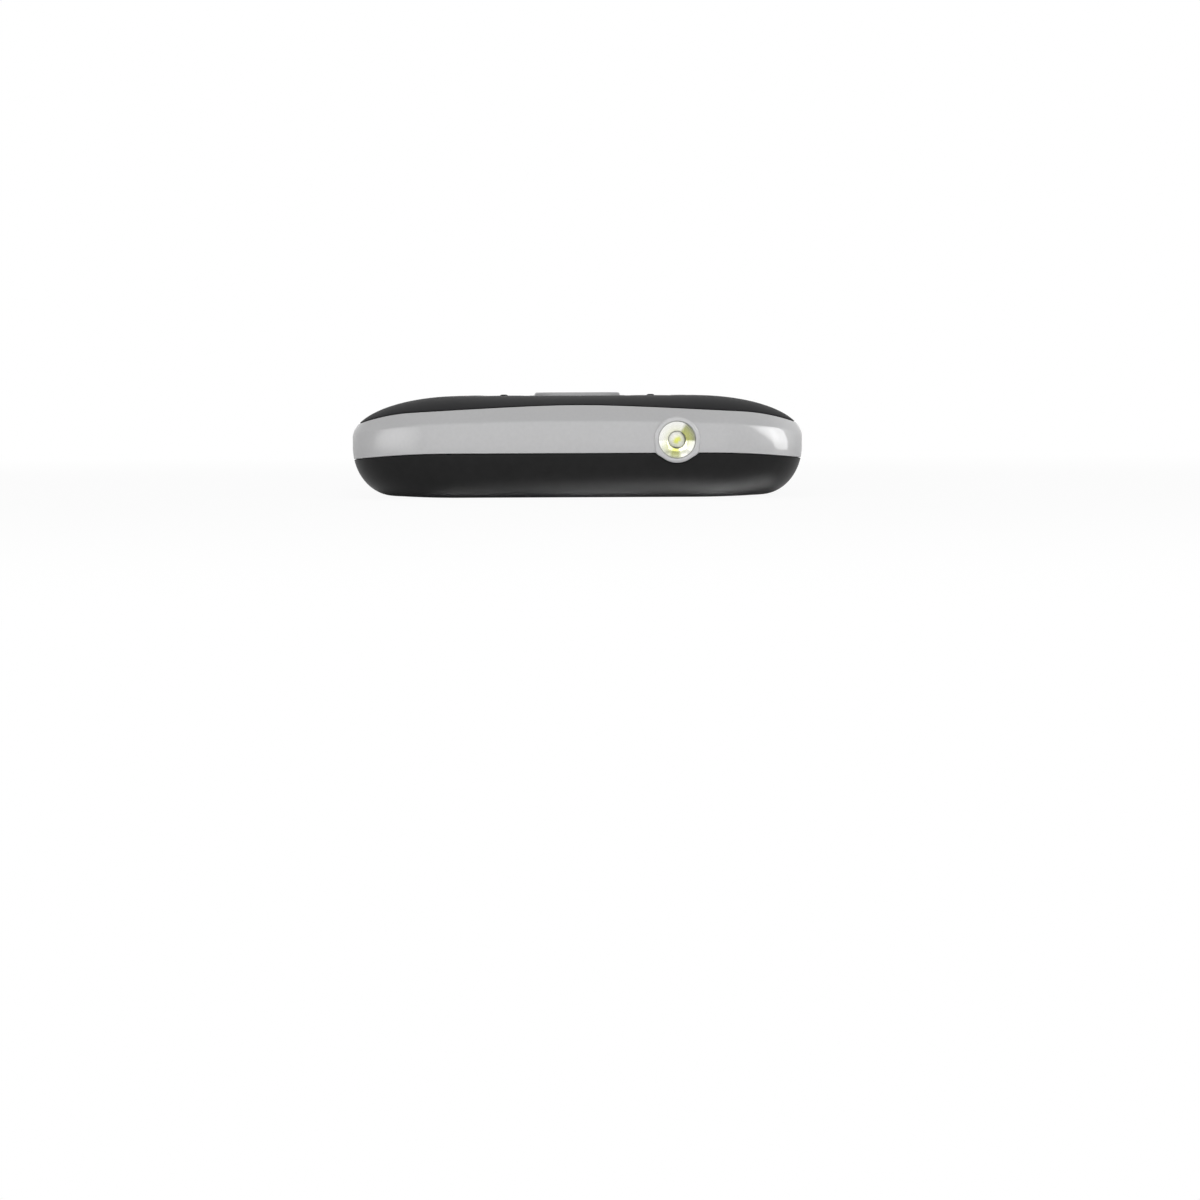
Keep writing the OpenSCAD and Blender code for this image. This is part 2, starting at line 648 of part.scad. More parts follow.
module select_key() color("#c4c4c6") {
    bevel = 0.3;
    top = body_t + select_proud;
    translate([0, nav_y, 0]) {
        plate(select_w + 2 * key_flange, select_h + 2 * key_flange, select_r, pad_z1, pad_z1 + 0.4);
        plate(select_w, select_h, select_r, pad_z1, top - bevel);
        hull() {
            plate(select_w, select_h, select_r, top - bevel - fine, top - bevel, $fn = 32);
            plate(select_w - 2 * bevel, select_h - 2 * bevel, select_r - bevel, top - fine, top, $fn = 32);
        }
    }
}

// A key: a flange under the cover and a cap whose top follows the bowed front.
module key_cap(w, h) {
    plate(w + 2 * key_flange, h + 2 * key_flange, key_r, pad_z1, flange_z1);
    intersection() {
        plate(w, h, key_r - 0.1, flange_z1 - fine, body_t + 1);
        children();
    }
}
module front_below(lift) {
    along_y(2 * corner_cy + 12) polygon(section(outer_edge, lift));
}
module number_key(i) color("#2c2c2e") {
    column = i % 3 - 1;
    at_number_key(i) key_cap(key_w, key_h)
        translate([-column * key_pitch_x, 0, 0]) front_below(key_proud);
}
module side_key(sx, sy, tint) color(tint) {
    at_side_key(sx, sy) key_cap(side_key_w, side_key_h)
        translate([-sx * side_key_x, 0, 0]) front_below(key_proud);
}

// Battery, its spring contacts and the card holder.
module battery() color("#d8d8d4") {
    translate([0, cell_y, 0]) {
        plate(battery_w, battery_l - 3, 1.2, cell_z0, cell_z0 + battery_t);
        translate([0, battery_l / 2 - 3, 0]) block(battery_w - 1, 6, cell_z0, cell_z0 + battery_t);
        translate([0, 3 - battery_l / 2, 0]) block(battery_w - 1, 6, cell_z0, cell_z0 + battery_t);
    }
}
module battery_contacts() color("#c9a24a") {
    translate([0, cell_y + battery_l / 2, 0]) {
        translate([0, 1.1, 0]) block(contact_w, 1.6, cell_z0 + 0.6, chassis_z1);
        for (i = [-1:1]) translate([2.8 * i, 0.2, 0])
            block(1, 0.3, cell_z0 + 1, cell_z0 + 3);
    }
}
module sim_holder() color("#b8bbc0") {
    w = card_x1 - card_x0;
    sheet = 0.4;
    card_w = (w - 7 * sheet) / 2;
    translate([card_x0 + w / 2, card_y, 0]) difference() {
        block(w, card_l, chassis_z0 - 4 * sheet, chassis_z0);
        for (sx = [-1, 1]) translate([sx * (card_w / 2 + 1.5 * sheet), -1.5, 0])
            block(card_w, card_l - 1, chassis_z0 - 3 * sheet, chassis_z0 - sheet);
    }
}

// Sound and vibration.
module loudspeaker() color("#555659") {
    translate([speaker_x, speaker_y, 0]) {
        translate([0, 0, chassis_z0 - 3]) cylinder(r = speaker_r, h = 3);
        translate([0, 0, chassis_z0 - 3.2]) cylinder(r = speaker_r - 1.2, h = 1);
    }
}
module speaker_gasket() color("#151515") {
    translate([speaker_x, speaker_y, cover_wall + fit]) difference() {
        cylinder(r = speaker_r, h = chassis_z0 - 3 - cover_wall - fit);
        translate([0, 0, -1]) cylinder(r = speaker_r - 1.1, h = 9);
    }
}
module vibration_motor() color("#cfd0d2") {
    translate([motor_x - motor_l / 2, motor_y, motor_z]) rotate([0, 90, 0]) {
        cylinder(r = motor_r, h = motor_l);
        cylinder(r = 0.4, h = motor_l + weight_gap + weight_l);
    }
}
module vibration_weight() color("#8b8d90") {
    bore = 0.4 + fine;
    translate([motor_x + motor_l / 2 + weight_gap, motor_y, motor_z]) rotate([0, 90, 0])
        linear_extrude(weight_l) difference() {
            union() {
                intersection() {
                    circle(motor_r - 0.1);
                    translate([0, -5]) square([5, 10]);
                }
                circle(0.9);
            }
            circle(bore);
        }
}

// Aerial on its plastic carrier, charging socket and microphone.
module antenna_carrier() color("#d0c7a8") {
    w = antenna_x1 - antenna_x0;
    shell = 0.8;
    translate([antenna_x0 + w / 2, body_l / 2 - 10, 0]) difference() {
        block(w, 7.4, chassis_z0 - 3.4, chassis_z0);
        translate([0, shell, 0]) block(w - 2 * shell, 7.4 - shell, chassis_z0 - 3.4 + shell, body_t);
    }
}
module usb_socket() color("#c2c4c8") {
    translate([0, usb_y, usb_z]) rotate([-90, 0, 0]) difference() {
        linear_extrude(usb_d) round_rect(usb_w, usb_h, 0.8);
        translate([0, 0, -1]) linear_extrude(usb_d) round_rect(usb_w - 0.6, usb_h - 0.6, 0.6);
    }
    for (s = [-1, 1]) translate([s * (usb_w / 2 + 0.6), usb_y + usb_d - 1.4, 0])
        block(1.4, 1.6, board_z1, board_z1 + 0.25);
}
module usb_tongue() color("#1b1b1c") {
    translate([0, usb_y + 0.8, usb_z - 0.1]) rotate([-90, 0, 0]) linear_extrude(usb_d - 1.8)
        square([usb_w - 2.4, 0.6], center = true);
}
module microphone() color("#c0b070") {
    translate([mic_x, board_y0 + 2.5, 0]) plate(3, 2.4, 0.3, board_z1, board_z1 + 0.9);
}
module mic_boot() color("#29292a") {
    y0 = -body_l / 2 + 3;
    difference() {
        translate([mic_x, (y0 + board_y0 + 4.3) / 2, 0])
            block(4.4, board_y0 + 4.3 - y0, board_z1, board_z1 + 1.2);
        translate([mic_x, board_y0 + 2.5, 0]) block(3 + fit, 2.4 + fit, 0, board_z1 + 0.95);
        rod_y(mic_x, mic_z, 0.35, y0 - 1, board_y0 + 2);
    }
}

// Six screws from the back through the chassis and the board into the front cover.
module housing_screws() color("#9a9b9e") {
    for (p = screw_places) translate([p.x, p.y, 0]) difference() {
        union() {
            translate([0, 0, chassis_z0 - 0.8]) cylinder(r = head_r, h = 0.8);
            translate([0, 0, chassis_z0 - fine]) cylinder(r = screw_r, h = board_z1 - chassis_z0 + 1.6);
        }
        for (a = [0, 90]) rotate(a) block(1.7 * screw_r, 0.35, 0, chassis_z0 - 0.4);
    }
}

front_cover();
side_frame();
rear_cover();
chassis();
display_lens();
display_gasket();
display_module();
display_flex();
earpiece_mesh();
earpiece_speaker();
torch_lens();
torch_reflector();
torch_led();
torch_board();
main_board();
shield_can();
dome_sheet();
keypad_mat();
nav_plate();
nav_ring();
select_key();
side_key(-1, 1, "#2c2c2e");  // soft_key_left
side_key(1, 1, "#2c2c2e");  // soft_key_right
side_key(-1, -1, "#2c2c2e");  // call_key
side_key(1, -1, "#2c2c2e");  // end_key
for (i = [0:11]) number_key(i);
battery();
battery_contacts();
sim_holder();
loudspeaker();
speaker_gasket();
vibration_motor();
vibration_weight();
antenna_carrier();
usb_socket();
usb_tongue();
microphone();
mic_boot();
housing_screws();
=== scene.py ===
import json
import math

import bmesh
import bpy
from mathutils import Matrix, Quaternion, Vector


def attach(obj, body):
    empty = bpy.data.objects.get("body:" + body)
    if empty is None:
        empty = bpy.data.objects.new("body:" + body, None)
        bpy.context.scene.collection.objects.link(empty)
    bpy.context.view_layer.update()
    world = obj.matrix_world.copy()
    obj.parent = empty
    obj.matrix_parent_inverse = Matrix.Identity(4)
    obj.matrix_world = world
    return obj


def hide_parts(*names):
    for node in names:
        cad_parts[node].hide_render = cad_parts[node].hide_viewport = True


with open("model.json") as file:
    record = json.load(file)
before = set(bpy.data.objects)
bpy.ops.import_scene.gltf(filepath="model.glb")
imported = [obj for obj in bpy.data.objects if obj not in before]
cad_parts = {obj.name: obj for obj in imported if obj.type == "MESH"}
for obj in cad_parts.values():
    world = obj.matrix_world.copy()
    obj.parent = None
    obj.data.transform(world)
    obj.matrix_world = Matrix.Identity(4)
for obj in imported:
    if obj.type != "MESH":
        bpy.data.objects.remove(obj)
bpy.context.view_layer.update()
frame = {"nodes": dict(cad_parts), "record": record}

# Sizes in millimetres, as in the part's source.
MM = 0.001
BODY_W, BODY_L, BODY_T = 50.0, 114.0, 11.3
CORNER_R = 12.0
FLANK_DROP = 4.6
HEEL_W, HEEL_H = 4.6, 5.4
BACK_CROWN = 0.25
WALL, COVER_WALL = 1.2, 1.1
SEAM = 0.08
FIT = 0.1
LIP_Z1, LIP_T = 4.98, 0.6
LAP_DEPTH = 0.8
TORCH_X, TORCH_Y, TORCH_Z = -10.83, 57.25, 6.45
COLLAR_R, COLLAR_DEPTH, TORCH_BORE_R, BAND_BORE_R = 2.5, 3.6, 2.02, 2.27
TORCH_LENS_T, TORCH_LENS_SINK, TORCH_LENS_CROWN = 0.55, 0.12, 0.25
LED_R, LED_GAP, BOWL_RISE = 0.95, 0.3, 0.5
KEY_SIDE, KEY_H, KEY_R, KEY_GAP = 5.6, 6.3, 1.5, 0.7
KEY_W = (BODY_W - 2 * KEY_SIDE - 2 * KEY_GAP) / 3
KEY_CLEAR, KEY_PROUD, KEY_PILLOW, KEY_HOLE_R = 0.2, 0.03, 0.02, 1.6
KEYPAD_MARGIN = 11.0
NAV_W, NAV_H, NAV_R = 21.0, 17.0, 6.0
NAV_GAP_Y, NAV_GAP_X, SIDE_KEY_GAP = 1.3, 1.1, 1.0
SELECT_W, SELECT_H, SELECT_R, SELECT_PROUD = 10.6, 8.0, 3.4, 0.4
SELECT_CLEAR, SELECT_HOLE_R = 0.25, 3.6
RIDGE_W, RIDGE_L, RIDGE_H, RIDGE_EDGE = 1.0, 4.0, 0.16, 1.4
LENS_W, LENS_L, LENS_T, LENS_R, LENS_LEDGE = 38.0, 39.0, 1.5, 2.5, 2.0
LENS_MARGIN = 15.0
DISPLAY_W, DISPLAY_L = 31.0, 34.0
BEZEL_MORE, BEZEL_T, BEZEL_GAP = 0.6, 0.48, 0.02
EAR_W, EAR_H, EAR_GAP = 10.0, 1.4, 1.7
USB_W, USB_H, USB_R, USB_Z = 7.5, 2.6, 0.9, 6.75
MIC_R, MIC_X, MIC_Z = 0.5, 10.0, 7.55
SPEAKER_X, SPEAKER_MARGIN = 11.0, 24.0
SLOT_W, SLOT_L, SLOT_PITCH, SLOT_SHORTER = 1.0, 8.0, 2.2, 1.2
NAIL_W, NAIL_DEPTH, NAIL_R = 9.0, 1.6, 0.3
KEY_Z0, SELECT_Z0, RING_Z0 = 8.9, 8.65, 9.06

# Seams and crease: their heights in the middle, and how they fall towards the sides.
LOW_SEAM_Z, LOW_SEAM_FALL, LOW_SEAM_X, LOW_SEAM_RUN = 5.0, 0.72, 14.0, 11.0
HIGH_SEAM_Z, HIGH_SEAM_SLOPE, HIGH_SEAM_ROUND = 10.27, 0.058, 6.0
HIGH_SEAM_FALL, HIGH_SEAM_X, HIGH_SEAM_RUN = 1.13, 18.0, 7.0
CREASE_Z, CREASE_BOW, CREASE_FALL, CREASE_X, CREASE_RUN = 8.55, 0.0013, 0.3, 17.0, 6.0
CREASE_U, CREASE_REACH, BAND_FOOT_Z = 0.42, 0.3, 5.4
CREASE_SOFT = (-0.12, -0.06, 0, 0.06, 0.12)
CREASE_FADE_DEG = (58, 88)

# Small forms of the visual model.
BAND_EDGE, FRONT_EDGE, REAR_EDGE = 0.05, 0.07, 0.05
KEY_EDGE, SELECT_EDGE, RING_EDGE, RIDGE_ROUND, LENS_EDGE = 0.28, 0.34, 0.22, 0.3, 0.15
FLARE, FLARE_IN_DEG, FLARE_OUT_DEG = 0.2, (14, 30), (32, 53)
FIGURE_SIZE, FIGURE_HALF, FIGURE_LIFT = 4.2, 0.006, 0.01
SIGN_LIFTS = (-0.02, 0.012)
DASH_L, DASH_W = 2.8, 0.55
SHARP_DEG = 32
POLE_R = 1e-6
MERGE_M = 1e-7

# Spans that reach right through the front, the back, the nail's notch, the torch end and the
# bottom end.
FRONT_SPAN = (5, 13)
BACK_SPAN = (-1, 3)
NAIL_SPAN = (4.3, 7)
TOP_END_SPAN = (48, 60)
BOTTOM_END_SPAN = (-60, -50)

FLANK_Z = BODY_T - FLANK_DROP
HEEL_Z = BACK_CROWN + HEEL_H
INNER_TOP = BODY_T - WALL
LAST_U = CORNER_R - 0.4
KEYPAD_Y0 = -BODY_L / 2 + KEYPAD_MARGIN
NAV_Y = KEYPAD_Y0 + 4 * (KEY_H + KEY_GAP) - KEY_GAP + NAV_GAP_Y + NAV_H / 2
SIDE_KEY_W = BODY_W / 2 - KEY_SIDE - NAV_W / 2 - NAV_GAP_X
SIDE_KEY_H = (NAV_H - SIDE_KEY_GAP) / 2
SIDE_KEY_X = NAV_W / 2 + NAV_GAP_X + SIDE_KEY_W / 2
SIDE_KEY_Y = (NAV_H - SIDE_KEY_H) / 2
LENS_Y = BODY_L / 2 - LENS_MARGIN - LENS_L / 2
LENS_Z0 = BODY_T - LENS_T
EAR_Y = BODY_L / 2 - LENS_MARGIN + EAR_GAP + EAR_H / 2
SPEAKER_Y = BODY_L / 2 - SPEAKER_MARGIN
LENS_BACK = COLLAR_DEPTH - TORCH_LENS_SINK - TORCH_LENS_T
LED_CROWN = 0.75 * LED_R
LED_H = LENS_BACK - LED_GAP - LED_CROWN

NUMBER_KEYS = ["key_1", "key_2", "key_3", "key_4", "key_5", "key_6", "key_7", "key_8", "key_9",
               "key_star", "key_0", "key_hash"]
FIGURES = "123456789*0#"
KEY_PLACES = {key: ((i % 3 - 1) * (KEY_W + KEY_GAP),
                    KEYPAD_Y0 + KEY_H / 2 + (3 - i // 3) * (KEY_H + KEY_GAP))
              for i, key in enumerate(NUMBER_KEYS)}
SIDE_PLACES = {"soft_key_left": (-SIDE_KEY_X, NAV_Y + SIDE_KEY_Y),
               "soft_key_right": (SIDE_KEY_X, NAV_Y + SIDE_KEY_Y),
               "call_key": (-SIDE_KEY_X, NAV_Y - SIDE_KEY_Y),
               "end_key": (SIDE_KEY_X, NAV_Y - SIDE_KEY_Y)}


# Nodes: each of these adds to a node tree and returns an output socket.
def object_place(tree):
    return tree.nodes.new("ShaderNodeTexCoord").outputs["Object"]


def ray_kind(tree, kind):
    return tree.nodes.new("ShaderNodeLightPath").outputs[kind]


def vector_steps(tree, last, steps):
    """A vector taken through steps: an operation and its second value, a socket or None."""
    for operation, second in steps:
        step = tree.nodes.new("ShaderNodeVectorMath")
        step.operation = operation
        tree.links.new(last, step.inputs[0])
        if isinstance(second, tuple):
            step.inputs[1].default_value = second
        elif second is not None:
            tree.links.new(second, step.inputs[1])
        last = step.outputs["Value" if operation == "LENGTH" else "Vector"]
    return last


def combined(tree, operation, first, second):
    step = tree.nodes.new("ShaderNodeMath")
    step.operation = operation
    tree.links.new(first, step.inputs[0])
    tree.links.new(second, step.inputs[1])
    return step.outputs["Value"]


def scaled(tree, value, low, high, to_low=0.0, to_high=1.0, curve="LINEAR"):
    """A value between low and high mapped to another span, and held at its ends."""
    span = tree.nodes.new("ShaderNodeMapRange")
    span.interpolation_type = curve
    span.inputs["From Min"].default_value = low
    span.inputs["From Max"].default_value = high
    span.inputs["To Min"].default_value = to_low
    span.inputs["To Max"].default_value = to_high
    tree.links.new(value, span.inputs["Value"])
    return span.outputs["Result"]


def ramp(tree, fac, stops):
    """Colours along a value from stops of a position and a colour."""
    made = tree.nodes.new("ShaderNodeValToRGB")
    points = made.color_ramp.elements
    points[0].position, points[0].color = stops[0][0], (*stops[0][1], 1)
    points[1].position, points[1].color = stops[-1][0], (*stops[-1][1], 1)
    for at, color in stops[1:-1]:
        points.new(at).color = (*color, 1)
    tree.links.new(fac, made.inputs["Fac"])
    return made.outputs["Color"]


def greys(*stops):
    return [(at, (level, level, level)) for at, level in stops]


def mixed(tree, share, first, second):
    """Two colours mixed by a share."""
    mix = tree.nodes.new("ShaderNodeMix")
    mix.data_type = "RGBA"
    for socket, value in zip((0, 6, 7), (share, first, second)):
        tree.links.new(value, mix.inputs[socket])
    return mix.outputs[2]


def mixed_shaders(tree, share, first, second):
    mix = tree.nodes.new("ShaderNodeMixShader")
    for socket, value in enumerate((share, first, second)):
        tree.links.new(value, mix.inputs[socket])
    return mix.outputs["Shader"]


# Materials: each one has its colour and gloss broken up a little by fine noise.
NOISE_DETAIL = 3.0
NOISE_LOW, NOISE_HIGH = 0.3, 0.7
RELIEF_M = 0.00002


def material(name, color, rough, metallic=0.0, coat=0.0, coat_rough=0.05, specular=0.5,
             spread=0.06, grain=900.0, rough_spread=0.05, bump=0.0, alpha=1.0):
    mat = bpy.data.materials.new(name)
    mat.use_nodes = True
    tree = mat.node_tree
    shader = tree.nodes["Principled BSDF"]
    for socket, value in (("Metallic", metallic), ("Specular IOR Level", specular),
                          ("Coat Weight", coat), ("Coat Roughness", coat_rough),
                          ("Alpha", alpha)):
        shader.inputs[socket].default_value = value
    noise = tree.nodes.new("ShaderNodeTexNoise")
    noise.inputs["Scale"].default_value = grain
    noise.inputs["Detail"].default_value = NOISE_DETAIL
    tree.links.new(object_place(tree), noise.inputs["Vector"])
    grains = noise.outputs["Fac"]
    paint(tree, ramp(tree, grains, [(NOISE_LOW, [c * (1 - spread) for c in color]),
                                    (NOISE_HIGH, [min(1, c * (1 + spread)) for c in color])]))
    gloss = scaled(tree, grains, 0.0, 1.0, max(0.0, rough - rough_spread), rough + rough_spread)
    tree.links.new(gloss, shader.inputs["Roughness"])
    if bump:
        relief = tree.nodes.new("ShaderNodeBump")
        relief.inputs["Strength"].default_value = bump
        relief.inputs["Distance"].default_value = RELIEF_M
        tree.links.new(grains, relief.inputs["Height"])
        tree.links.new(relief.outputs["Normal"], shader.inputs["Normal"])
    return mat


def paint(tree, color):
    tree.links.new(color, tree.nodes["Principled BSDF"].inputs["Base Color"])


SATIN = dict(rough=0.5, specular=0.08, coat=0.2, coat_rough=0.03, spread=0.02, grain=2500.0)
LOOKS = {
    "front_grey": dict(color=(0.028, 0.028, 0.029), rough=0.5, specular=0.006, spread=0.05,
                       bump=0.05),
    "silver": dict(SATIN, color=(0.50, 0.50, 0.505)),
    # Painted light: the collar has the band's silver finish, and this lighter copy stands in for
    # more light falling on the collar.
    "silver_collar": dict(SATIN, color=(0.57, 0.57, 0.575)),
    "rear_black": dict(color=(0.0205, 0.0205, 0.0207), rough=0.39, specular=0.03, spread=0.06,
                       rough_spread=0.02),
    "window": dict(color=(0.008, 0.008, 0.01), rough=0.05, specular=0.22, rough_spread=0.01),
    "key_dark": dict(color=(0.026, 0.026, 0.028), rough=0.35, specular=0.18, spread=0.05),
    "silver_key": dict(color=(0.44, 0.44, 0.445), rough=0.4, specular=0.1, spread=0.03,
                       grain=2500.0),
    "reflector": dict(color=(0.92, 0.92, 0.84), rough=0.12, metallic=1.0, spread=0.02),
    "phosphor": dict(color=(0.85, 0.9, 0.12), rough=0.25, spread=0.08, grain=3000.0),
    "inner_plastic": dict(color=(0.035, 0.035, 0.038), rough=0.5, bump=0.1),
    "foam": dict(color=(0.015, 0.015, 0.015), rough=0.9, spread=0.3, grain=4000.0, bump=0.4),
    "panel": dict(color=(0.12, 0.13, 0.14), rough=0.12),
    "flex": dict(color=(0.40, 0.19, 0.04), rough=0.35),
    "mesh": dict(color=(0.06, 0.06, 0.063), rough=0.4, metallic=0.6),
    "speaker_metal": dict(color=(0.36, 0.36, 0.38), rough=0.35, metallic=1.0),
    "board": dict(color=(0.015, 0.12, 0.05), rough=0.4, spread=0.15, grain=400.0),
    "tin": dict(color=(0.6, 0.6, 0.62), rough=0.28, metallic=1.0),
    "dome_film": dict(color=(0.55, 0.46, 0.28), rough=0.35),
    "silicone": dict(color=(0.28, 0.29, 0.31), rough=0.6),
    "cell": dict(color=(0.62, 0.62, 0.59), rough=0.45, bump=0.05),
    "contact": dict(color=(0.75, 0.52, 0.18), rough=0.25, metallic=1.0),
    "weight": dict(color=(0.3, 0.3, 0.31), rough=0.5, metallic=0.9, bump=0.2),
    "carrier": dict(color=(0.55, 0.5, 0.36), rough=0.5),
    "rubber": dict(color=(0.025, 0.025, 0.025), rough=0.7),
    "screw": dict(color=(0.42, 0.42, 0.44), rough=0.3, metallic=1.0),
    "print_white": dict(color=(0.75, 0.75, 0.76), rough=0.4),
    "print_green": dict(color=(0.03, 0.42, 0.08), rough=0.4),
    "print_red": dict(color=(0.55, 0.03, 0.03), rough=0.4),
    "clear": dict(color=(0.96, 0.97, 0.93), rough=0.04, spread=0.01, rough_spread=0.01,
                  alpha=0.06),
}
MATS = {name: material(name, **look) for name, look in LOOKS.items()}
slot_of = {s["node"]: s["material_slot"] for s in frame["record"]["subparts"]}


def about_torch(tree):
    """The distance from the torch's axis (m) and the turn about it (0 to 1)."""
    axis = tree.nodes.new("ShaderNodeMapping")
    axis.inputs["Rotation"].default_value = (-math.pi / 2, 0, 0)
    axis.inputs["Location"].default_value = (-TORCH_X * MM, -TORCH_Z * MM, 0)
    tree.links.new(object_place(tree), axis.inputs["Vector"])
    reach = vector_steps(tree, axis.outputs["Vector"],
                         [("MULTIPLY", (1, 1, 0)), ("LENGTH", None)])
    turn = tree.nodes.new("ShaderNodeTexGradient")
    turn.gradient_type = "RADIAL"
    tree.links.new(axis.outputs["Vector"], turn.inputs["Vector"])
    return reach, turn.outputs["Fac"]


def paint_reflector_reflections(tree):
    """Bright metal with the emitter's yellow painted on as a reflection in wedges, strongest by
    the emitter.
    """
    reach, turn = about_torch(tree)
    out = scaled(tree, reach, (LED_R + 0.1) * MM, TORCH_BORE_R * MM)
    # Painted reflection: the pale metal takes on a yellow tint near the emitter, and the wedges
    # are olive.
    pale_metal_with_painted_reflection = ramp(tree, out, [(0.0, (0.86, 0.87, 0.70)), (0.4, (0.95, 0.95, 0.88)),
                            (1.0, (1.0, 1.0, 0.99))])
    painted_yellow_reflection = ramp(tree, out, [(0.0, (0.46, 0.48, 0.09)), (0.45, (0.40, 0.42, 0.11)),
                             (1.0, (0.29, 0.30, 0.22))])
    # Painted reflection: the turns about the axis at which the emitter's yellow shows in wedges.
    share = ramp(tree, turn, greys((0.0, 1), (0.02, 0.4), (0.1, 0.28), (0.2, 0.32),
                                   (0.235, 0.95), (0.3, 1), (0.33, 0.72), (0.41, 0.55),
                                   (0.47, 0.15), (0.52, 0), (0.81, 0), (0.85, 1), (1.0, 1)))
    paint(tree, mixed(tree, share, pale_metal_with_painted_reflection, painted_yellow_reflection))


# The grey of the emitter's rim is painted shade.
EMITTER_MIDDLE, EMITTER_SHADED_RIM = (0.91, 0.95, 0.03), (0.62, 0.62, 0.56)


def paint_emitter(tree):
    """Yellow in the middle and pale further out, with a grey rim and two dark arcs of painted
    shade where the gap round the emitter lies.
    """
    reach, turn = about_torch(tree)
    out = scaled(tree, reach, 0.0, LED_R * MM)
    small = ramp(tree, out, [(0.0, EMITTER_MIDDLE), (0.16, (0.86, 0.90, 0.12)),
                             (0.42, (0.92, 0.92, 0.82)), (0.86, (0.96, 0.96, 0.95)),
                             (1.0, EMITTER_SHADED_RIM)])
    large = ramp(tree, out, [(0.0, EMITTER_MIDDLE), (0.36, (0.78, 0.82, 0.07)),
                             (0.62, (0.92, 0.92, 0.78)), (0.86, (0.92, 0.92, 0.88)),
                             (1.0, EMITTER_SHADED_RIM)])
    # Painted shade: the dark gap between the emitter and the reflector, shown in two arcs.
    painted_gap_shade = ramp(tree, out, [(0.0, EMITTER_MIDDLE), (0.3, (0.80, 0.84, 0.08)),
                            (0.58, (0.90, 0.90, 0.74)), (0.8, (0.80, 0.80, 0.70)),
                            (0.9, (0.10, 0.10, 0.04)), (1.0, (0.06, 0.06, 0.02))])
    streak = ramp(tree, turn, greys((0.0, 0.3), (0.1, 0), (0.25, 0.4), (0.38, 1), (0.5, 0.2),
                                    (0.62, 0), (0.78, 0.2), (0.88, 1), (1.0, 0.3)))
    shade_arcs = ramp(tree, turn, greys((0.0, 1), (0.04, 0.9), (0.1, 0), (0.18, 0), (0.23, 0.9),
                                  (0.31, 0.9), (0.36, 0), (0.82, 0), (0.87, 0.8), (1.0, 1)))
    paint(tree, mixed(tree, shade_arcs, mixed(tree, streak, small, large), painted_gap_shade))


def paint_window(tree):
    """Black round the edge; the display behind it shows as a very dark grey."""
    half = (DISPLAY_W / 2 * MM, DISPLAY_L / 2 * MM, 1)
    away = vector_steps(tree, object_place(tree),
                        [("SUBTRACT", (0, LENS_Y * MM, 0)), ("ABSOLUTE", None),
                         ("SUBTRACT", half), ("MAXIMUM", (0, 0, 0)), ("LENGTH", None)])
    edge = scaled(tree, away, 0.0, 0.1 * MM)
    paint(tree, ramp(tree, edge, [(0.0, (0.016, 0.018, 0.022)), (1.0, (0.004, 0.004, 0.0045))]))


paint_reflector_reflections(MATS["reflector"].node_tree)
paint_emitter(MATS["phosphor"].node_tree)
paint_window(MATS["window"].node_tree)


# Pieces.
def mesh_object(name, verts, faces):
    mesh = bpy.data.meshes.new(name)
    mesh.from_pydata([(x * MM, y * MM, z * MM) for x, y, z in verts], [], faces)
    shape = bmesh.new()
    shape.from_mesh(mesh)
    bmesh.ops.remove_doubles(shape, verts=shape.verts, dist=MERGE_M)
    bmesh.ops.recalc_face_normals(shape, faces=shape.faces)
    shape.to_mesh(mesh)
    shape.free()
    return scene_object(name, mesh)


def scene_object(name, data):
    obj = bpy.data.objects.new(name, data)
    bpy.context.scene.collection.objects.link(obj)
    return obj


def evaluated_mesh(obj):
    view = bpy.context.evaluated_depsgraph_get()
    return bpy.data.meshes.new_from_object(obj.evaluated_get(view))


def cut(obj, *cutters):
    """The object less the cutters, which then go."""
    for cutter in cutters:
        change = obj.modifiers.new("cut", "BOOLEAN")
        change.operation = "DIFFERENCE"
        change.solver = "EXACT"
        change.object = cutter
    mesh = evaluated_mesh(obj)
    obj.modifiers.clear()
    obj.data = mesh
    for cutter in cutters:
        bpy.data.objects.remove(cutter)


def finish_piece(obj, mat, body="phone", replaces=()):
    obj.data.materials.clear()
    obj.data.materials.append(MATS[mat])
    for p in obj.data.polygons:
        p.use_smooth = True
        p.material_index = 0
    obj.data.set_sharp_from_angle(angle=math.radians(SHARP_DEG))
    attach(obj, body)
    if replaces:
        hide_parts(*replaces)


# Surfaces of the body: distance in from the wall (u) against height (z).
def flank_u(z):
    return CORNER_R * (1 - math.sqrt(max(0.0, 1 - ((z - FLANK_Z) / FLANK_DROP) ** 2)))


def edge_u(z):
    if z < HEEL_Z:
        return HEEL_W * (1 - math.sqrt(max(0.0, 1 - ((HEEL_Z - z) / HEEL_H) ** 2)))
    return flank_u(z) if z > FLANK_Z else 0.0


def front_z(u, inset=0.0):
    t = max(0.0, CORNER_R - u) / (CORNER_R - inset)
    return FLANK_Z + (FLANK_DROP - inset) * math.sqrt(max(0.0, 1 - t * t))


def inner_u(z):
    s = (z - FLANK_Z) / (FLANK_DROP - WALL)
    return CORNER_R - (CORNER_R - WALL) * math.sqrt(max(0.0, 1 - s * s)) if s > 0 else WALL


LAP = LAP_DEPTH + flank_u(HIGH_SEAM_Z)


def bend(x, start, run):
    """The bend towards a side: 0 up to start, 1 at start + run."""
    return (max(0.0, abs(x) - start) / run) ** 2


def low_seam(x):
    return LOW_SEAM_Z - LOW_SEAM_FALL * bend(x, LOW_SEAM_X, LOW_SEAM_RUN)


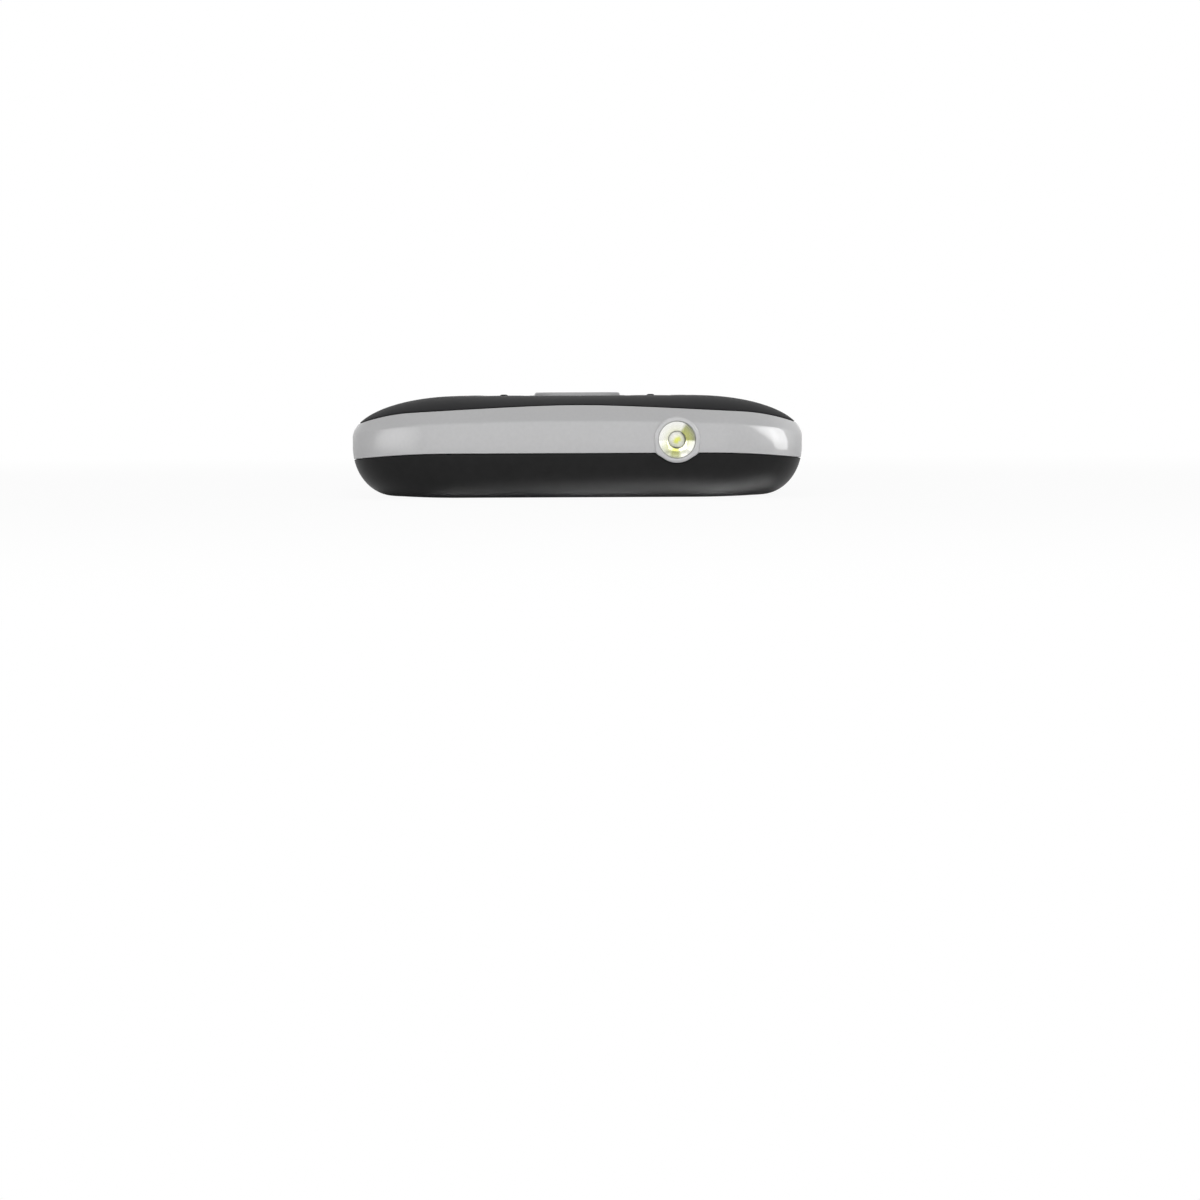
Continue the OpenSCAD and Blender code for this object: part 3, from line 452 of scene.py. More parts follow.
def high_seam(x):
    return (HIGH_SEAM_Z
            - HIGH_SEAM_SLOPE * (math.sqrt(x * x + HIGH_SEAM_ROUND ** 2) - HIGH_SEAM_ROUND)
            - HIGH_SEAM_FALL * bend(x, HIGH_SEAM_X, HIGH_SEAM_RUN))


def crease_z(x):
    return CREASE_Z - CREASE_BOW * x * x - CREASE_FALL * bend(x, CREASE_X, CREASE_RUN)


def smooth(a, b, v):
    t = min(1.0, max(0.0, (v - a) / (b - a)))
    return t * t * (3 - 2 * t)


def between(a, b, n):
    """The ends of n even steps from a to b."""
    return [a + (b - a) * i / n for i in range(n + 1)]


def arc(u, z, run, rise, first, last, n):
    """Points (u, z) along part of an ellipse."""
    return [(u - run * math.cos(a), z + rise * math.sin(a)) for a in between(first, last, n)]


def stations(n_side=24, n_corner=28, n_end=48):
    """Points round the outer wall, each with its outward normal."""
    w, l = BODY_W / 2, BODY_L / 2
    cx, cy = w - CORNER_R, l - CORNER_R
    out = []

    def straight(a, b, n, normal):
        for i in range(n):
            t = i / n
            out.append((a[0] + (b[0] - a[0]) * t, a[1] + (b[1] - a[1]) * t, *normal))

    def corner(x, y, start):
        for i in range(n_corner):
            a = math.radians(start + 90 * i / n_corner)
            c, s = math.cos(a), math.sin(a)
            out.append((x + CORNER_R * c, y + CORNER_R * s, c, s))

    straight((w, -cy), (w, cy), n_side, (1, 0))
    corner(cx, cy, 0)
    straight((cx, l), (-cx, l), n_end, (0, 1))
    corner(-cx, cy, 90)
    straight((-w, cy), (-w, -cy), n_side, (-1, 0))
    corner(-cx, -cy, 180)
    straight((-cx, -l), (cx, -l), n_end, (0, -1))
    corner(cx, -cy, 270)
    return out


def seam_point(place, height, gap, passes=12):
    """Where a seam meets the outer surface at this station: (u, z)."""
    px, _, nx, _ = place
    u = 0.0
    for _ in range(passes):
        z = height(px - u * nx) + gap
        u = edge_u(z)
    return u, z


PLACES = stations()


def sweep(name, loop_at, closed):
    """A shell from one loop of (u, z) points at each station."""
    loops = [loop_at(place) for place in PLACES]
    verts, faces = [], []
    m, n = len(loops[0]), len(loops)
    for (px, py, nx, ny), loop in zip(PLACES, loops):
        verts += [(px - u * nx, py - u * ny, z) for u, z in loop]
    for i in range(n):
        a, b = i * m, ((i + 1) % n) * m
        for j in range(m if closed else m - 1):
            k = (j + 1) % m
            faces.append((a + j, b + j, b + k, a + k))
    if not closed:
        faces.append([i * m for i in range(n)])
        faces.append([i * m + m - 1 for i in range(n)])
    return mesh_object(name, verts, faces)


def band_loop(place):
    """Side frame: a near-upright lower zone, a crease, and a sloped upper zone at the ends."""
    px, _, _, ny = place
    u_low, z_low = seam_point(place, low_seam, SEAM / 2)
    u_high, z_high = seam_point(place, high_seam, -SEAM / 2)
    weight = 1 - smooth(*CREASE_FADE_DEG, math.degrees(math.acos(min(1.0, abs(ny)))))
    z_crease = crease_z(px)
    rise = z_high - z_crease

    def end_u(z):
        if z < z_crease:
            return CREASE_U * (max(0.0, z - BAND_FOOT_Z) / (z_crease - BAND_FOOT_Z)) ** 2
        return CREASE_U + (u_high - CREASE_U) * (z - z_crease) / rise

    def surface(z):
        soft = sum(end_u(min(z_high, z + d)) for d in CREASE_SOFT) / len(CREASE_SOFT)
        blend = min(1.0, (z_high - z) / CREASE_REACH) if z > z_crease else 1.0
        soft = blend * soft + (1 - blend) * end_u(z)
        return weight * soft + (1 - weight) * edge_u(z)

    # Where the seam comes near the crease, the rows about the crease close up.
    near = rise < CREASE_REACH + 0.1
    middle_end = 0.25 * rise if near else CREASE_REACH
    upper_start = 0.3 * rise if near else CREASE_REACH
    rows = between(z_low + BAND_EDGE, z_crease - CREASE_REACH, 14)
    rows += between(z_crease - CREASE_REACH, z_crease + middle_end, 8)[1:-1]
    rows += between(z_crease + upper_start, z_high, 12)

    loop = [(u_low + BAND_EDGE + 0.02, z_low), (u_low + 0.3 * BAND_EDGE, z_low + 0.25 * BAND_EDGE)]
    loop += [(surface(z), z) for z in rows]
    u_top = LAP - SEAM / 2
    if z_high < INNER_TOP:
        u_top = min(u_top, inner_u(z_high))
    loop += [(u_high + (u_top - u_high) * 0.1, z_high), (u_top, z_high)]
    turn = math.acos(min(1.0, (CORNER_R - u_top) / (CORNER_R - WALL)))
    inside = arc(CORNER_R, FLANK_Z, CORNER_R - WALL, FLANK_DROP - WALL, turn, 0, 8)
    loop += [(u, min(z_high - 0.01, z)) for u, z in inside]
    loop.append((WALL, z_low))
    return loop


def front_loop(place):
    """Front cover: its inside, the lap, the seam's rounded edge, and the bowed face."""
    u_seam, z_seam = seam_point(place, high_seam, SEAM / 2)
    u_lap = LAP + SEAM / 2
    if z_seam < INNER_TOP:
        u_lap = min(u_lap, inner_u(z_seam))
    loop = [(u, front_z(u, WALL)) for u in between(LAST_U, u_lap, 8)]
    loop += [(u_lap, z_seam), (u_seam + 2.2 * FRONT_EDGE, z_seam),
             (u_seam + 0.8 * FRONT_EDGE, z_seam + 0.1 * FRONT_EDGE)]
    first = math.asin(min(1.0, (z_seam + FRONT_EDGE - FLANK_Z) / FLANK_DROP))
    last = math.acos((CORNER_R - LAST_U) / CORNER_R)
    return loop + arc(CORNER_R, FLANK_Z, CORNER_R, FLANK_DROP, first, last, 26)


def rear_loop(place):
    """Rear cover: its inside, the locating lip, the seam's edge, the heel and the back."""
    u_seam, z_seam = seam_point(place, low_seam, -SEAM / 2)
    lip_u = WALL + FIT
    run, rise = HEEL_W - COVER_WALL, HEEL_Z - COVER_WALL
    turn = math.acos((HEEL_W - lip_u - LIP_T) / run)
    loop = [(LAST_U, COVER_WALL)]
    loop += arc(HEEL_W, HEEL_Z, run, -rise, math.pi / 2, turn, 8)
    loop += [(lip_u + LIP_T, LIP_Z1), (lip_u, LIP_Z1), (lip_u, z_seam),
             (u_seam + REAR_EDGE, z_seam), (u_seam + 0.3 * REAR_EDGE, z_seam - 0.3 * REAR_EDGE)]
    first = math.asin((HEEL_Z - z_seam + REAR_EDGE) / HEEL_H)
    loop += arc(HEEL_W, HEEL_Z, HEEL_W, -HEEL_H, first, math.pi / 2, 24)
    return loop + [(HEEL_W + (LAST_U - HEEL_W) * s, BACK_CROWN * (1 - s) ** 2)
                   for s in between(0, 1, 6)[1:]]


# Outlines and plates.
def round_rect(w, h, r, n=7):
    out = []
    for sx, sy, start in ((1, 1, 0), (-1, 1, 90), (-1, -1, 180), (1, -1, 270)):
        for i in range(n):
            a = math.radians(start + 90 * i / (n - 1))
            out.append((sx * (w / 2 - r) + r * math.cos(a), sy * (h / 2 - r) + r * math.sin(a)))
    return out


def full_turn(n):
    return [2 * math.pi * i / n for i in range(n)]


def circle(r, n=64):
    return [(r * math.cos(a), r * math.sin(a)) for a in full_turn(n)]


def bridge(a, b, n):
    """Quads between two rings of n points that start at a and b."""
    return [(a + i, a + (i + 1) % n, b + (i + 1) % n, b + i) for i in range(n)]


def prisms(name, items):
    """One object of upright prisms: (outline, x, y, z0, z1) each."""
    verts, faces = [], []
    for outline, x, y, z0, z1 in items:
        n, base = len(outline), len(verts)
        verts += [(x + a, y + b, z) for z in (z0, z1) for a, b in outline]
        faces.append([base + i for i in range(n)])
        faces.append([base + n + i for i in range(n)])
        faces += bridge(base, base + n, n)
    return mesh_object(name, verts, faces)


def lengthwise(name, outline, x, z, y0, y1):
    """A prism along Y of an outline in X and Z."""
    n = len(outline)
    verts = [(x + a, y, z + b) for y in (y0, y1) for a, b in outline]
    faces = [list(range(n)), list(range(n, 2 * n))] + bridge(0, n, n)
    return mesh_object(name, verts, faces)


def collar_flare(a):
    """How far the collar flares out at an angle where it meets the lower seam."""
    below = -math.degrees(math.asin(math.sin(a)))
    return FLARE * (1 - smooth(*FLARE_OUT_DEG, below)) * smooth(*FLARE_IN_DEG, below)


def collar_outline(r, n=96):
    reaches = [(r + collar_flare(a), a) for a in full_turn(n)]
    return [(reach * math.cos(a), reach * math.sin(a)) for reach, a in reaches]


def turned(name, profile, y, n=96, flared=math.inf):
    """A solid turned about the torch's axis from (radius, distance forward) points."""
    verts, faces, rings = [], [], []
    for r, d in profile:
        if r < POLE_R:
            rings.append([len(verts)] * n)
            verts.append((TORCH_X, y + d, TORCH_Z))
        else:
            rings.append(list(range(len(verts), len(verts) + n)))
            for a in full_turn(n):
                reach = r + (collar_flare(a) if r > flared else 0)
                verts.append((TORCH_X + reach * math.cos(a), y + d,
                              TORCH_Z + reach * math.sin(a)))
    for a, b in zip(rings, rings[1:]):
        for i in range(n):
            k = (i + 1) % n
            face = [a[i], a[k], b[k], b[i]]
            face = [v for j, v in enumerate(face) if v not in face[:j]]
            if len(face) > 2:
                faces.append(face)
    return mesh_object(name, verts, faces)


def rounded_rim(edge):
    """Insets and drops from a piece's bottom (None) over its rounded rim to its top."""
    return [(0.0, None), (0.0, -edge), (0.08 * edge, -0.55 * edge), (0.32 * edge, -0.2 * edge),
            (0.7 * edge, -0.04 * edge), (1.1 * edge, 0.0)]


def surface_top(x, lift):
    return front_z(BODY_W / 2 - abs(x)) + lift


def cap(name, w, h, r, x, y, z0, lift, edge=KEY_EDGE, pillow=0.0, curved=True):
    """A key or window: upright sides, a rounded rim, and a top that follows the bowed front."""
    rim = rounded_rim(edge)
    insets = between(rim[-1][0], min(w, h) / 2 - 0.12, 9)[1:]
    verts, starts = [], []
    for inset, drop in rim + [(inset, 0.0) for inset in insets]:
        starts.append(len(verts))
        for a, b in round_rect(w - 2 * inset, h - 2 * inset, max(0.06, r - inset)):
            top = surface_top(x + a, lift) if curved else BODY_T + lift
            swell = pillow * (1 - (2 * a / w) ** 2) * (1 - (2 * b / h) ** 2)
            verts.append((x + a, y + b, z0 if drop is None else top + drop + swell))
    n = starts[1]
    faces = [list(range(n)), [starts[-1] + i for i in range(n)]]
    for a, b in zip(starts, starts[1:]):
        faces += bridge(a, b, n)
    return mesh_object(name, verts, faces)


def rocker_ring(name, edge=RING_EDGE):
    """A flat rounded ring with soft edges inside and out."""
    rim = rounded_rim(edge)
    hole_w, hole_h = SELECT_W + 2 * SELECT_CLEAR, SELECT_H + 2 * SELECT_CLEAR

    def ring(w, h, r, drop):
        z = RING_Z0 if drop is None else BODY_T + drop
        return [(a, NAV_Y + b, z) for a, b in round_rect(w, h, r, 12)]

    rings = [ring(NAV_W - 2 * i, NAV_H - 2 * i, NAV_R - i, drop) for i, drop in rim]
    inner = [ring(hole_w + 2 * i, hole_h + 2 * i, SELECT_HOLE_R + i, drop)
             for i, drop in rim[::-1]]
    outer_top, inner_top = rings[-1], inner[0]
    for t in (0.25, 0.5, 0.75):
        rings.append([tuple(p + (q - p) * t for p, q in zip(v, w))
                      for v, w in zip(outer_top, inner_top)])
    rings += inner
    n = len(outer_top)
    faces = []
    for k in range(len(rings)):
        faces += bridge(k * n, (k + 1) % len(rings) * n, n)
    return mesh_object(name, [v for ring_verts in rings for v in ring_verts], faces)


# Shells.
def opening(w, h, r, x, y, n=7):
    return round_rect(w, h, r, n), x, y, *FRONT_SPAN


front = sweep("front_shell", front_loop, False)
holes = [opening(w + 2 * KEY_CLEAR, h + 2 * KEY_CLEAR, KEY_HOLE_R, x, y)
         for places, w, h in ((KEY_PLACES, KEY_W, KEY_H), (SIDE_PLACES, SIDE_KEY_W, SIDE_KEY_H))
         for x, y in places.values()]
holes.append(opening(NAV_W + 2 * KEY_CLEAR, NAV_H + 2 * KEY_CLEAR, NAV_R, 0, NAV_Y, 12))
holes.append(opening(EAR_W, EAR_H, EAR_H / 2 - 0.01, 0, EAR_Y))
holes.append(opening(LENS_W + 2 * FIT, LENS_L + 2 * FIT, LENS_R, 0, LENS_Y, 12))
cut(front, prisms("holes", holes))
finish_piece(front, "front_grey", replaces=["front_cover"])

bezel_outline = round_rect(LENS_W + BEZEL_MORE, LENS_L + BEZEL_MORE, LENS_R, 12)
bezel_z1 = LENS_Z0 - BEZEL_GAP
bezel = prisms("display_bezel", [(bezel_outline, 0, LENS_Y, bezel_z1 - BEZEL_T, bezel_z1)])
cut(bezel, prisms("opening", [opening(LENS_W - 2 * LENS_LEDGE, LENS_L - 2 * LENS_LEDGE, LENS_R,
                                      0, LENS_Y, 12)]))
finish_piece(bezel, "front_grey")

band = sweep("side_band", band_loop, True)
port = round_rect(USB_W + 2 * FIT, USB_H + 2 * FIT, USB_R)
cut(band, lengthwise("bore", circle(BAND_BORE_R), TORCH_X, TORCH_Z, *TOP_END_SPAN),
    lengthwise("port", port, 0, USB_Z, *BOTTOM_END_SPAN),
    lengthwise("mic", circle(MIC_R, 24), MIC_X, MIC_Z, *BOTTOM_END_SPAN))
finish_piece(band, "silver", replaces=["side_frame"])

rear = sweep("rear_shell", rear_loop, False)
grille = [(round_rect(SLOT_W, SLOT_L - abs(i) * SLOT_SHORTER, SLOT_W / 2 - 0.01),
           SPEAKER_X + SLOT_PITCH * i, SPEAKER_Y, *BACK_SPAN) for i in range(-2, 3)]
nail = [(round_rect(NAIL_W, NAIL_DEPTH, NAIL_R), 0, -BODY_L / 2, *NAIL_SPAN)]
cut(rear, lengthwise("notch", collar_outline(COLLAR_R + FIT), TORCH_X, TORCH_Z, *TOP_END_SPAN),
    prisms("grille", grille), prisms("nail", nail))
finish_piece(rear, "rear_black", body="rear_cover", replaces=["rear_cover"])

# Torch.
collar_profile = [(COLLAR_R, -COLLAR_DEPTH), (COLLAR_R, -0.26), (COLLAR_R - 0.03, -0.17),
                  (COLLAR_R - 0.11, -0.085), (COLLAR_R - 0.22, -0.03), (COLLAR_R - 0.34, 0.0),
                  (TORCH_BORE_R + 0.1, 0.0), (TORCH_BORE_R + 0.03, -0.05), (TORCH_BORE_R, -0.14),
                  (TORCH_BORE_R, -COLLAR_DEPTH), (COLLAR_R, -COLLAR_DEPTH)]
collar = turned("torch_collar", collar_profile, TORCH_Y, flared=COLLAR_R - 0.2)
finish_piece(collar, "silver_collar")

torch_base = TORCH_Y - COLLAR_DEPTH
quarter = [math.pi / 2 * i / 12 for i in range(13)]
lens_rim, lens_back = TORCH_BORE_R - 0.04, -TORCH_LENS_SINK - TORCH_LENS_T
lens_front = [(lens_rim * math.cos(a), -TORCH_LENS_SINK - TORCH_LENS_CROWN * (1 - math.sin(a)))
              for a in quarter]
finish_piece(turned("torch_window", [(0, lens_back), (lens_rim, lens_back)] + lens_front, TORCH_Y),
             "clear", replaces=["torch_lens"])

dome = [(LED_R * math.cos(a), LED_H + LED_CROWN * math.sin(a)) for a in quarter]
finish_piece(turned("torch_dome", [(0, 0), (LED_R, 0)] + dome, torch_base), "phosphor",
             replaces=["torch_led"])

bowl_hole, bowl_rim, bowl_z0, bowl_z1 = LED_R + 0.03, lens_rim - 0.03, 0.05, LENS_BACK - 0.04
bowl = [(bowl_hole + (bowl_rim - bowl_hole) * t, bowl_z1 - BOWL_RISE * (1 - t ** 1.4))
        for t in between(0, 1, 10)]
bowl = ([(bowl_hole, bowl_z0)] + bowl
        + [(lens_rim, bowl_z1), (lens_rim, bowl_z0), (bowl_hole, bowl_z0)])
finish_piece(turned("torch_bowl", bowl, torch_base), "reflector", replaces=["torch_reflector"])

# Controls.
for places, w, h in ((KEY_PLACES, KEY_W, KEY_H), (SIDE_PLACES, SIDE_KEY_W, SIDE_KEY_H)):
    for key, (x, y) in places.items():
        key_cap = cap("cap_" + key, w, h, KEY_R, x, y, KEY_Z0, KEY_PROUD, pillow=KEY_PILLOW)
        finish_piece(key_cap, "key_dark", body=key, replaces=[key])
select = cap("cap_select", SELECT_W, SELECT_H, SELECT_R, 0, NAV_Y, SELECT_Z0, SELECT_PROUD,
             edge=SELECT_EDGE, curved=False)
finish_piece(select, "silver_key", body="select_key", replaces=["select_key"])
finish_piece(rocker_ring("rocker_ring"), "key_dark", body="nav_ring", replaces=["nav_ring"])
for name, side in (("ridge_left", -1), ("ridge_right", 1)):
    ridge = cap(name, RIDGE_W, RIDGE_L, RIDGE_W / 2 - 0.01, side * (NAV_W / 2 - RIDGE_EDGE), NAV_Y,
                BODY_T - 0.2, RIDGE_H, edge=RIDGE_ROUND, curved=False)
    finish_piece(ridge, "front_grey", body="nav_ring")


# Figures and signs on the keys, laid on their bowed tops. The font is the built-in one.
def key_top(x, lift):
    return surface_top(x, KEY_PROUD + KEY_PILLOW + lift)


def legend(name, text, x, y, mat, body):
    curve = bpy.data.curves.new(name, "FONT")
    curve.body = text
    curve.size = FIGURE_SIZE * MM
    curve.align_x, curve.align_y = "CENTER", "CENTER"
    curve.extrude = FIGURE_HALF * MM
    words = scene_object(name, curve)
    mesh = evaluated_mesh(words)
    bpy.data.objects.remove(words)
    low = [min(v.co[i] for v in mesh.vertices) for i in (0, 1)]
    high = [max(v.co[i] for v in mesh.vertices) for i in (0, 1)]
    for v in mesh.vertices:
        px = x + (v.co.x - (low[0] + high[0]) / 2) / MM
        py = y + (v.co.y - (low[1] + high[1]) / 2) / MM
        v.co = (px * MM, py * MM, v.co.z + key_top(px, FIGURE_LIFT) * MM)
    finish_piece(scene_object(name, mesh), mat, body=body)


def sign(name, rails, x, y, turn, mat, body):
    """A thin printed strip between two rails."""
    c, s = math.cos(math.radians(turn)), math.sin(math.radians(turn))
    flat = [(x + a * c - b * s, y + a * s + b * c) for rail in rails for a, b in rail]
    n, m = len(rails[0]), len(flat)
    verts = [(px, py, key_top(px, lift)) for lift in SIGN_LIFTS for px, py in flat]
    faces = []
    for i in range(n - 1):
        quad = [i, i + 1, n + i + 1, n + i]
        faces += [quad, [m + v for v in quad], [i, i + 1, m + i + 1, m + i],
                  [n + i, n + i + 1, m + n + i + 1, m + n + i]]
    faces += [[0, n, m + n, m], [n - 1, 2 * n - 1, m + 2 * n - 1, m + n - 1]]
    finish_piece(mesh_object(name, verts, faces), mat, body=body)


def handset_rails(n=33):
    """A bowed handset: a slim bow with a rounded block at each end."""
    rails = [[], []]
    for i in range(n):
        t = abs(2 * i / (n - 1) - 1)
        a = math.radians(12 + 156 * i / (n - 1))
        end = math.sqrt(max(0.0, 1 - ((t - 0.8) / 0.2) ** 2)) if t > 0.8 else 1.0
        block = smooth(0.5, 0.66, t)
        half = (0.3 + 0.27 * block) * max(0.25, end)
        middle = 1.5 - 0.2 * block
        for rail, r in zip(rails, (middle + half, middle - half)):
            rail.append((r * math.cos(a), 0.8 * r * math.sin(a) - 0.65))
    return rails


def dash_rails(n=15):
    """A dash that narrows a little at its ends."""
    xs = [DASH_L * (i / (n - 1) - 0.5) for i in range(n)]
    halves = [DASH_W / 2 * min(1.0, 0.55 + 2 * min(i, n - 1 - i) / 4) for i in range(n)]
    return [list(zip(xs, halves)), [(x, -h) for x, h in zip(xs, halves)]]


sign("sign_call", handset_rails(), *SIDE_PLACES["call_key"], 125, "print_green", "call_key")
sign("sign_end", handset_rails(), *SIDE_PLACES["end_key"], 0, "print_red", "end_key")
for key in ("soft_key_left", "soft_key_right"):
    sign("sign_" + key, dash_rails(), *SIDE_PLACES[key], 0, "print_white", key)
for key, figure in zip(NUMBER_KEYS, FIGURES):
    legend("figure_" + key, figure, *KEY_PLACES[key], "print_white", key)

lens = cap("window_display", LENS_W, LENS_L, LENS_R, 0, LENS_Y, LENS_Z0, 0.0, edge=LENS_EDGE)
finish_piece(lens, "window", replaces=["display_lens"])

# The other nodes keep their shapes and get a material.
for name, node in frame["nodes"].items():
    if node.hide_render:
        continue
    node.data.materials.clear()
    node.data.materials.append(MATS[slot_of[name]])
    for p in node.data.polygons:
        p.material_index = 0


# Stage: a white floor and a white room, as the camera and the gloss see them.
FLOOR_SIZE, FLOOR_Z = 6.0, -0.00002
FLOOR_LOOK = (("Base Color", (0.9, 0.9, 0.9, 1)), ("Roughness", 0.9), ("Specular IOR Level", 0.1))
FADE_FROM, FADE_TO, FADE_LEVEL = 0.07, 0.3, 0.93
SHADE_FROM, SHADE_TO = (CORNER_R - 3.6) * MM, (CORNER_R - 1.2) * MM
WHITE = (1, 1, 1, 1)
ROOM_LEVEL = 0.05


def seen_directly(tree):
    """1 for camera, glossy and transmission rays, otherwise 0."""
    seen = combined(tree, "MAXIMUM", ray_kind(tree, "Is Camera Ray"),
                    ray_kind(tree, "Is Glossy Ray"))
    return combined(tree, "MAXIMUM", seen, ray_kind(tree, "Is Transmission Ray"))


def outside_footprint(tree, where):
    """In gloss, 0 on the floor right under the phone, rising to 1 just inside its outline."""
    inner = ((BODY_W / 2 - CORNER_R) * MM, (BODY_L / 2 - CORNER_R) * MM, 1)
    away = vector_steps(tree, where, [("ABSOLUTE", None), ("SUBTRACT", inner),
                                      ("MAXIMUM", (0, 0, 0)), ("LENGTH", None)])
    rise = scaled(tree, away, SHADE_FROM, SHADE_TO, curve="SMOOTHSTEP")
    return combined(tree, "MAXIMUM", rise, ray_kind(tree, "Is Camera Ray"))


def floor_material():
    """White where it is seen directly, matt for other light, and clear to lamps under it."""
    mat = bpy.data.materials.new("floor_white")
    mat.use_nodes = True
    tree = mat.node_tree
    matt = tree.nodes["Principled BSDF"]
    for socket, value in FLOOR_LOOK:
        matt.inputs[socket].default_value = value
    glow = tree.nodes.new("ShaderNodeEmission")
    glow.inputs["Strength"].default_value = 1.0
    where = object_place(tree)
    away = vector_steps(tree, where, [("LENGTH", None)])
    fade = scaled(tree, away, FADE_FROM, FADE_TO, FADE_LEVEL, 1.0, "SMOOTHSTEP")
    level = combined(tree, "MULTIPLY", fade, outside_footprint(tree, where))
    share = combined(tree, "MULTIPLY", seen_directly(tree), level)
    white = mixed_shaders(tree, share, matt.outputs["BSDF"], glow.outputs["Emission"])
    clear = tree.nodes.new("ShaderNodeBsdfTransparent")
    surface = mixed_shaders(tree, ray_kind(tree, "Is Shadow Ray"), white, clear.outputs["BSDF"])
    tree.links.new(surface, tree.nodes["Material Output"].inputs["Surface"])
    return mat


floor_mesh = bpy.data.meshes.new("floor")
floor_mesh.from_pydata([(x * FLOOR_SIZE, y * FLOOR_SIZE, 0)
                        for x, y in ((-1, -1), (1, -1), (1, 1), (-1, 1))], [], [(0, 1, 2, 3)])
floor = scene_object("floor", floor_mesh)
floor.location.z = FLOOR_Z
floor_mesh.materials.append(floor_material())

world = bpy.data.worlds.new("studio")
bpy.context.scene.world = world
world.use_nodes = True
room_tree = world.node_tree
room = room_tree.nodes["Background"]
white = room_tree.nodes.new("ShaderNodeBackground")
for background, strength in ((room, ROOM_LEVEL), (white, 1.0)):
    background.inputs["Color"].default_value = WHITE
    background.inputs["Strength"].default_value = strength
sky = mixed_shaders(room_tree, seen_directly(room_tree), room.outputs["Background"],
                    white.outputs["Background"])
room_tree.links.new(sky, room_tree.nodes["World Output"].inputs["Surface"])

# Soft lamps, in metres: name, place, aim, width, height, roll in degrees, power.
# Panels light everything, and fills only what is matt.
PANELS = [
    ("overhead", (0.0, 0.1, 1.2), (0, 0, 0), 1.6, 1.2, 0, 3.4),
    ("front_panel", (0.0, 1.7, 0.72), (0, 0.05, 0), 2.6, 1.4, 0, 22.3),
    ("left_panel", (1.5, 0.55, 0.6), (0, 0, 0), 1.6, 1.1, 0, 2.8),
    ("right_panel", (-1.5, 0.55, 0.6), (0, 0, 0), 1.6, 1.1, 0, 2.0),
    ("back_panel", (0.0, -1.7, 0.72), (0, -0.05, 0), 2.6, 1.4, 0, 8.0),
]
FILLS = [
    ("key_left", (0.62, 0.9, 0.35), (0, 0.05, 0), 0.5, 0.4, 0, 1.0),
    ("fill_right", (-0.9, 0.7, 0.3), (0, 0.05, 0), 0.6, 0.5, 0, 1.6),
    ("side_right", (-1.0, 0.0, 0.3), (0, 0.05, 0), 0.5, 0.4, 0, 0.2),
]
# Cards are seen only in the gloss of the band and the collar.
LEFT_AIM, CORNER_AIM = (0.02, 0.05, 0.006), (-0.022, 0.054, 0.006)
CARDS = [
    ("left_card", (0.588, 0.2, 0.17), LEFT_AIM, 0.8, 0.44, 0, 12.5),
    ("corner_upright", (-0.591, -0.136, 0.2), CORNER_AIM, 0.28, 0.46, -12, 7.5),
    ("corner_slant", (-0.632, 0.067, 0.252), CORNER_AIM, 0.55, 0.24, -45, 10.5),
]
SOFT_CARDS = ("left_card", "corner_slant")
# Under the translucent table, a row of lamps (x, y, depth, power) is seen only in the gloss of
# the rear cover's heel.
TABLE_Z, TABLE_LAMP_W, TABLE_SPREAD_DEG = -0.022, 0.012, 110
TABLE_AIM_SHARE, TABLE_AIM_Y, TABLE_AIM_Z = 0.7, 0.0545, 0.001
TABLE_ROW = [(0.010, 0.048, 0.026, 0.0014), (-0.002, 0.048, 0.026, 0.0025),
             (-0.014, 0.049, 0.031, 0.0040), (-0.0245, 0.0495, 0.038, 0.0074)]
TABLE_LAMPS = [("table_" + str(i), (x, y, TABLE_Z),
                (TABLE_AIM_SHARE * x, TABLE_AIM_Y, TABLE_AIM_Z), TABLE_LAMP_W, depth, 0, power)
               for i, (x, y, depth, power) in enumerate(TABLE_ROW)]


def soften(light):
    """Fades a lamp out from its middle to its edges."""
    light.use_nodes = True
    tree = light.node_tree
    across = tree.nodes.new("ShaderNodeNewGeometry").outputs["Parametric"]
    off = vector_steps(tree, across, [("SUBTRACT", (0.5, 0.5, 0))])
    fall = vector_steps(tree, off, [("MULTIPLY", off), ("MULTIPLY", (-4, -4, 0)),
                                    ("ADD", (1, 1, 0))])
    split = tree.nodes.new("ShaderNodeSeparateXYZ")
    tree.links.new(fall, split.inputs["Vector"])
    strength = combined(tree, "MULTIPLY", split.outputs["X"], split.outputs["Y"])
    tree.links.new(strength, tree.nodes["Emission"].inputs["Strength"])


def aimed(direction, roll):
    """The turn of a lamp or camera that looks in a direction."""
    return direction.to_track_quat("-Z", "Y") @ Quaternion((0, 0, 1), math.radians(roll))


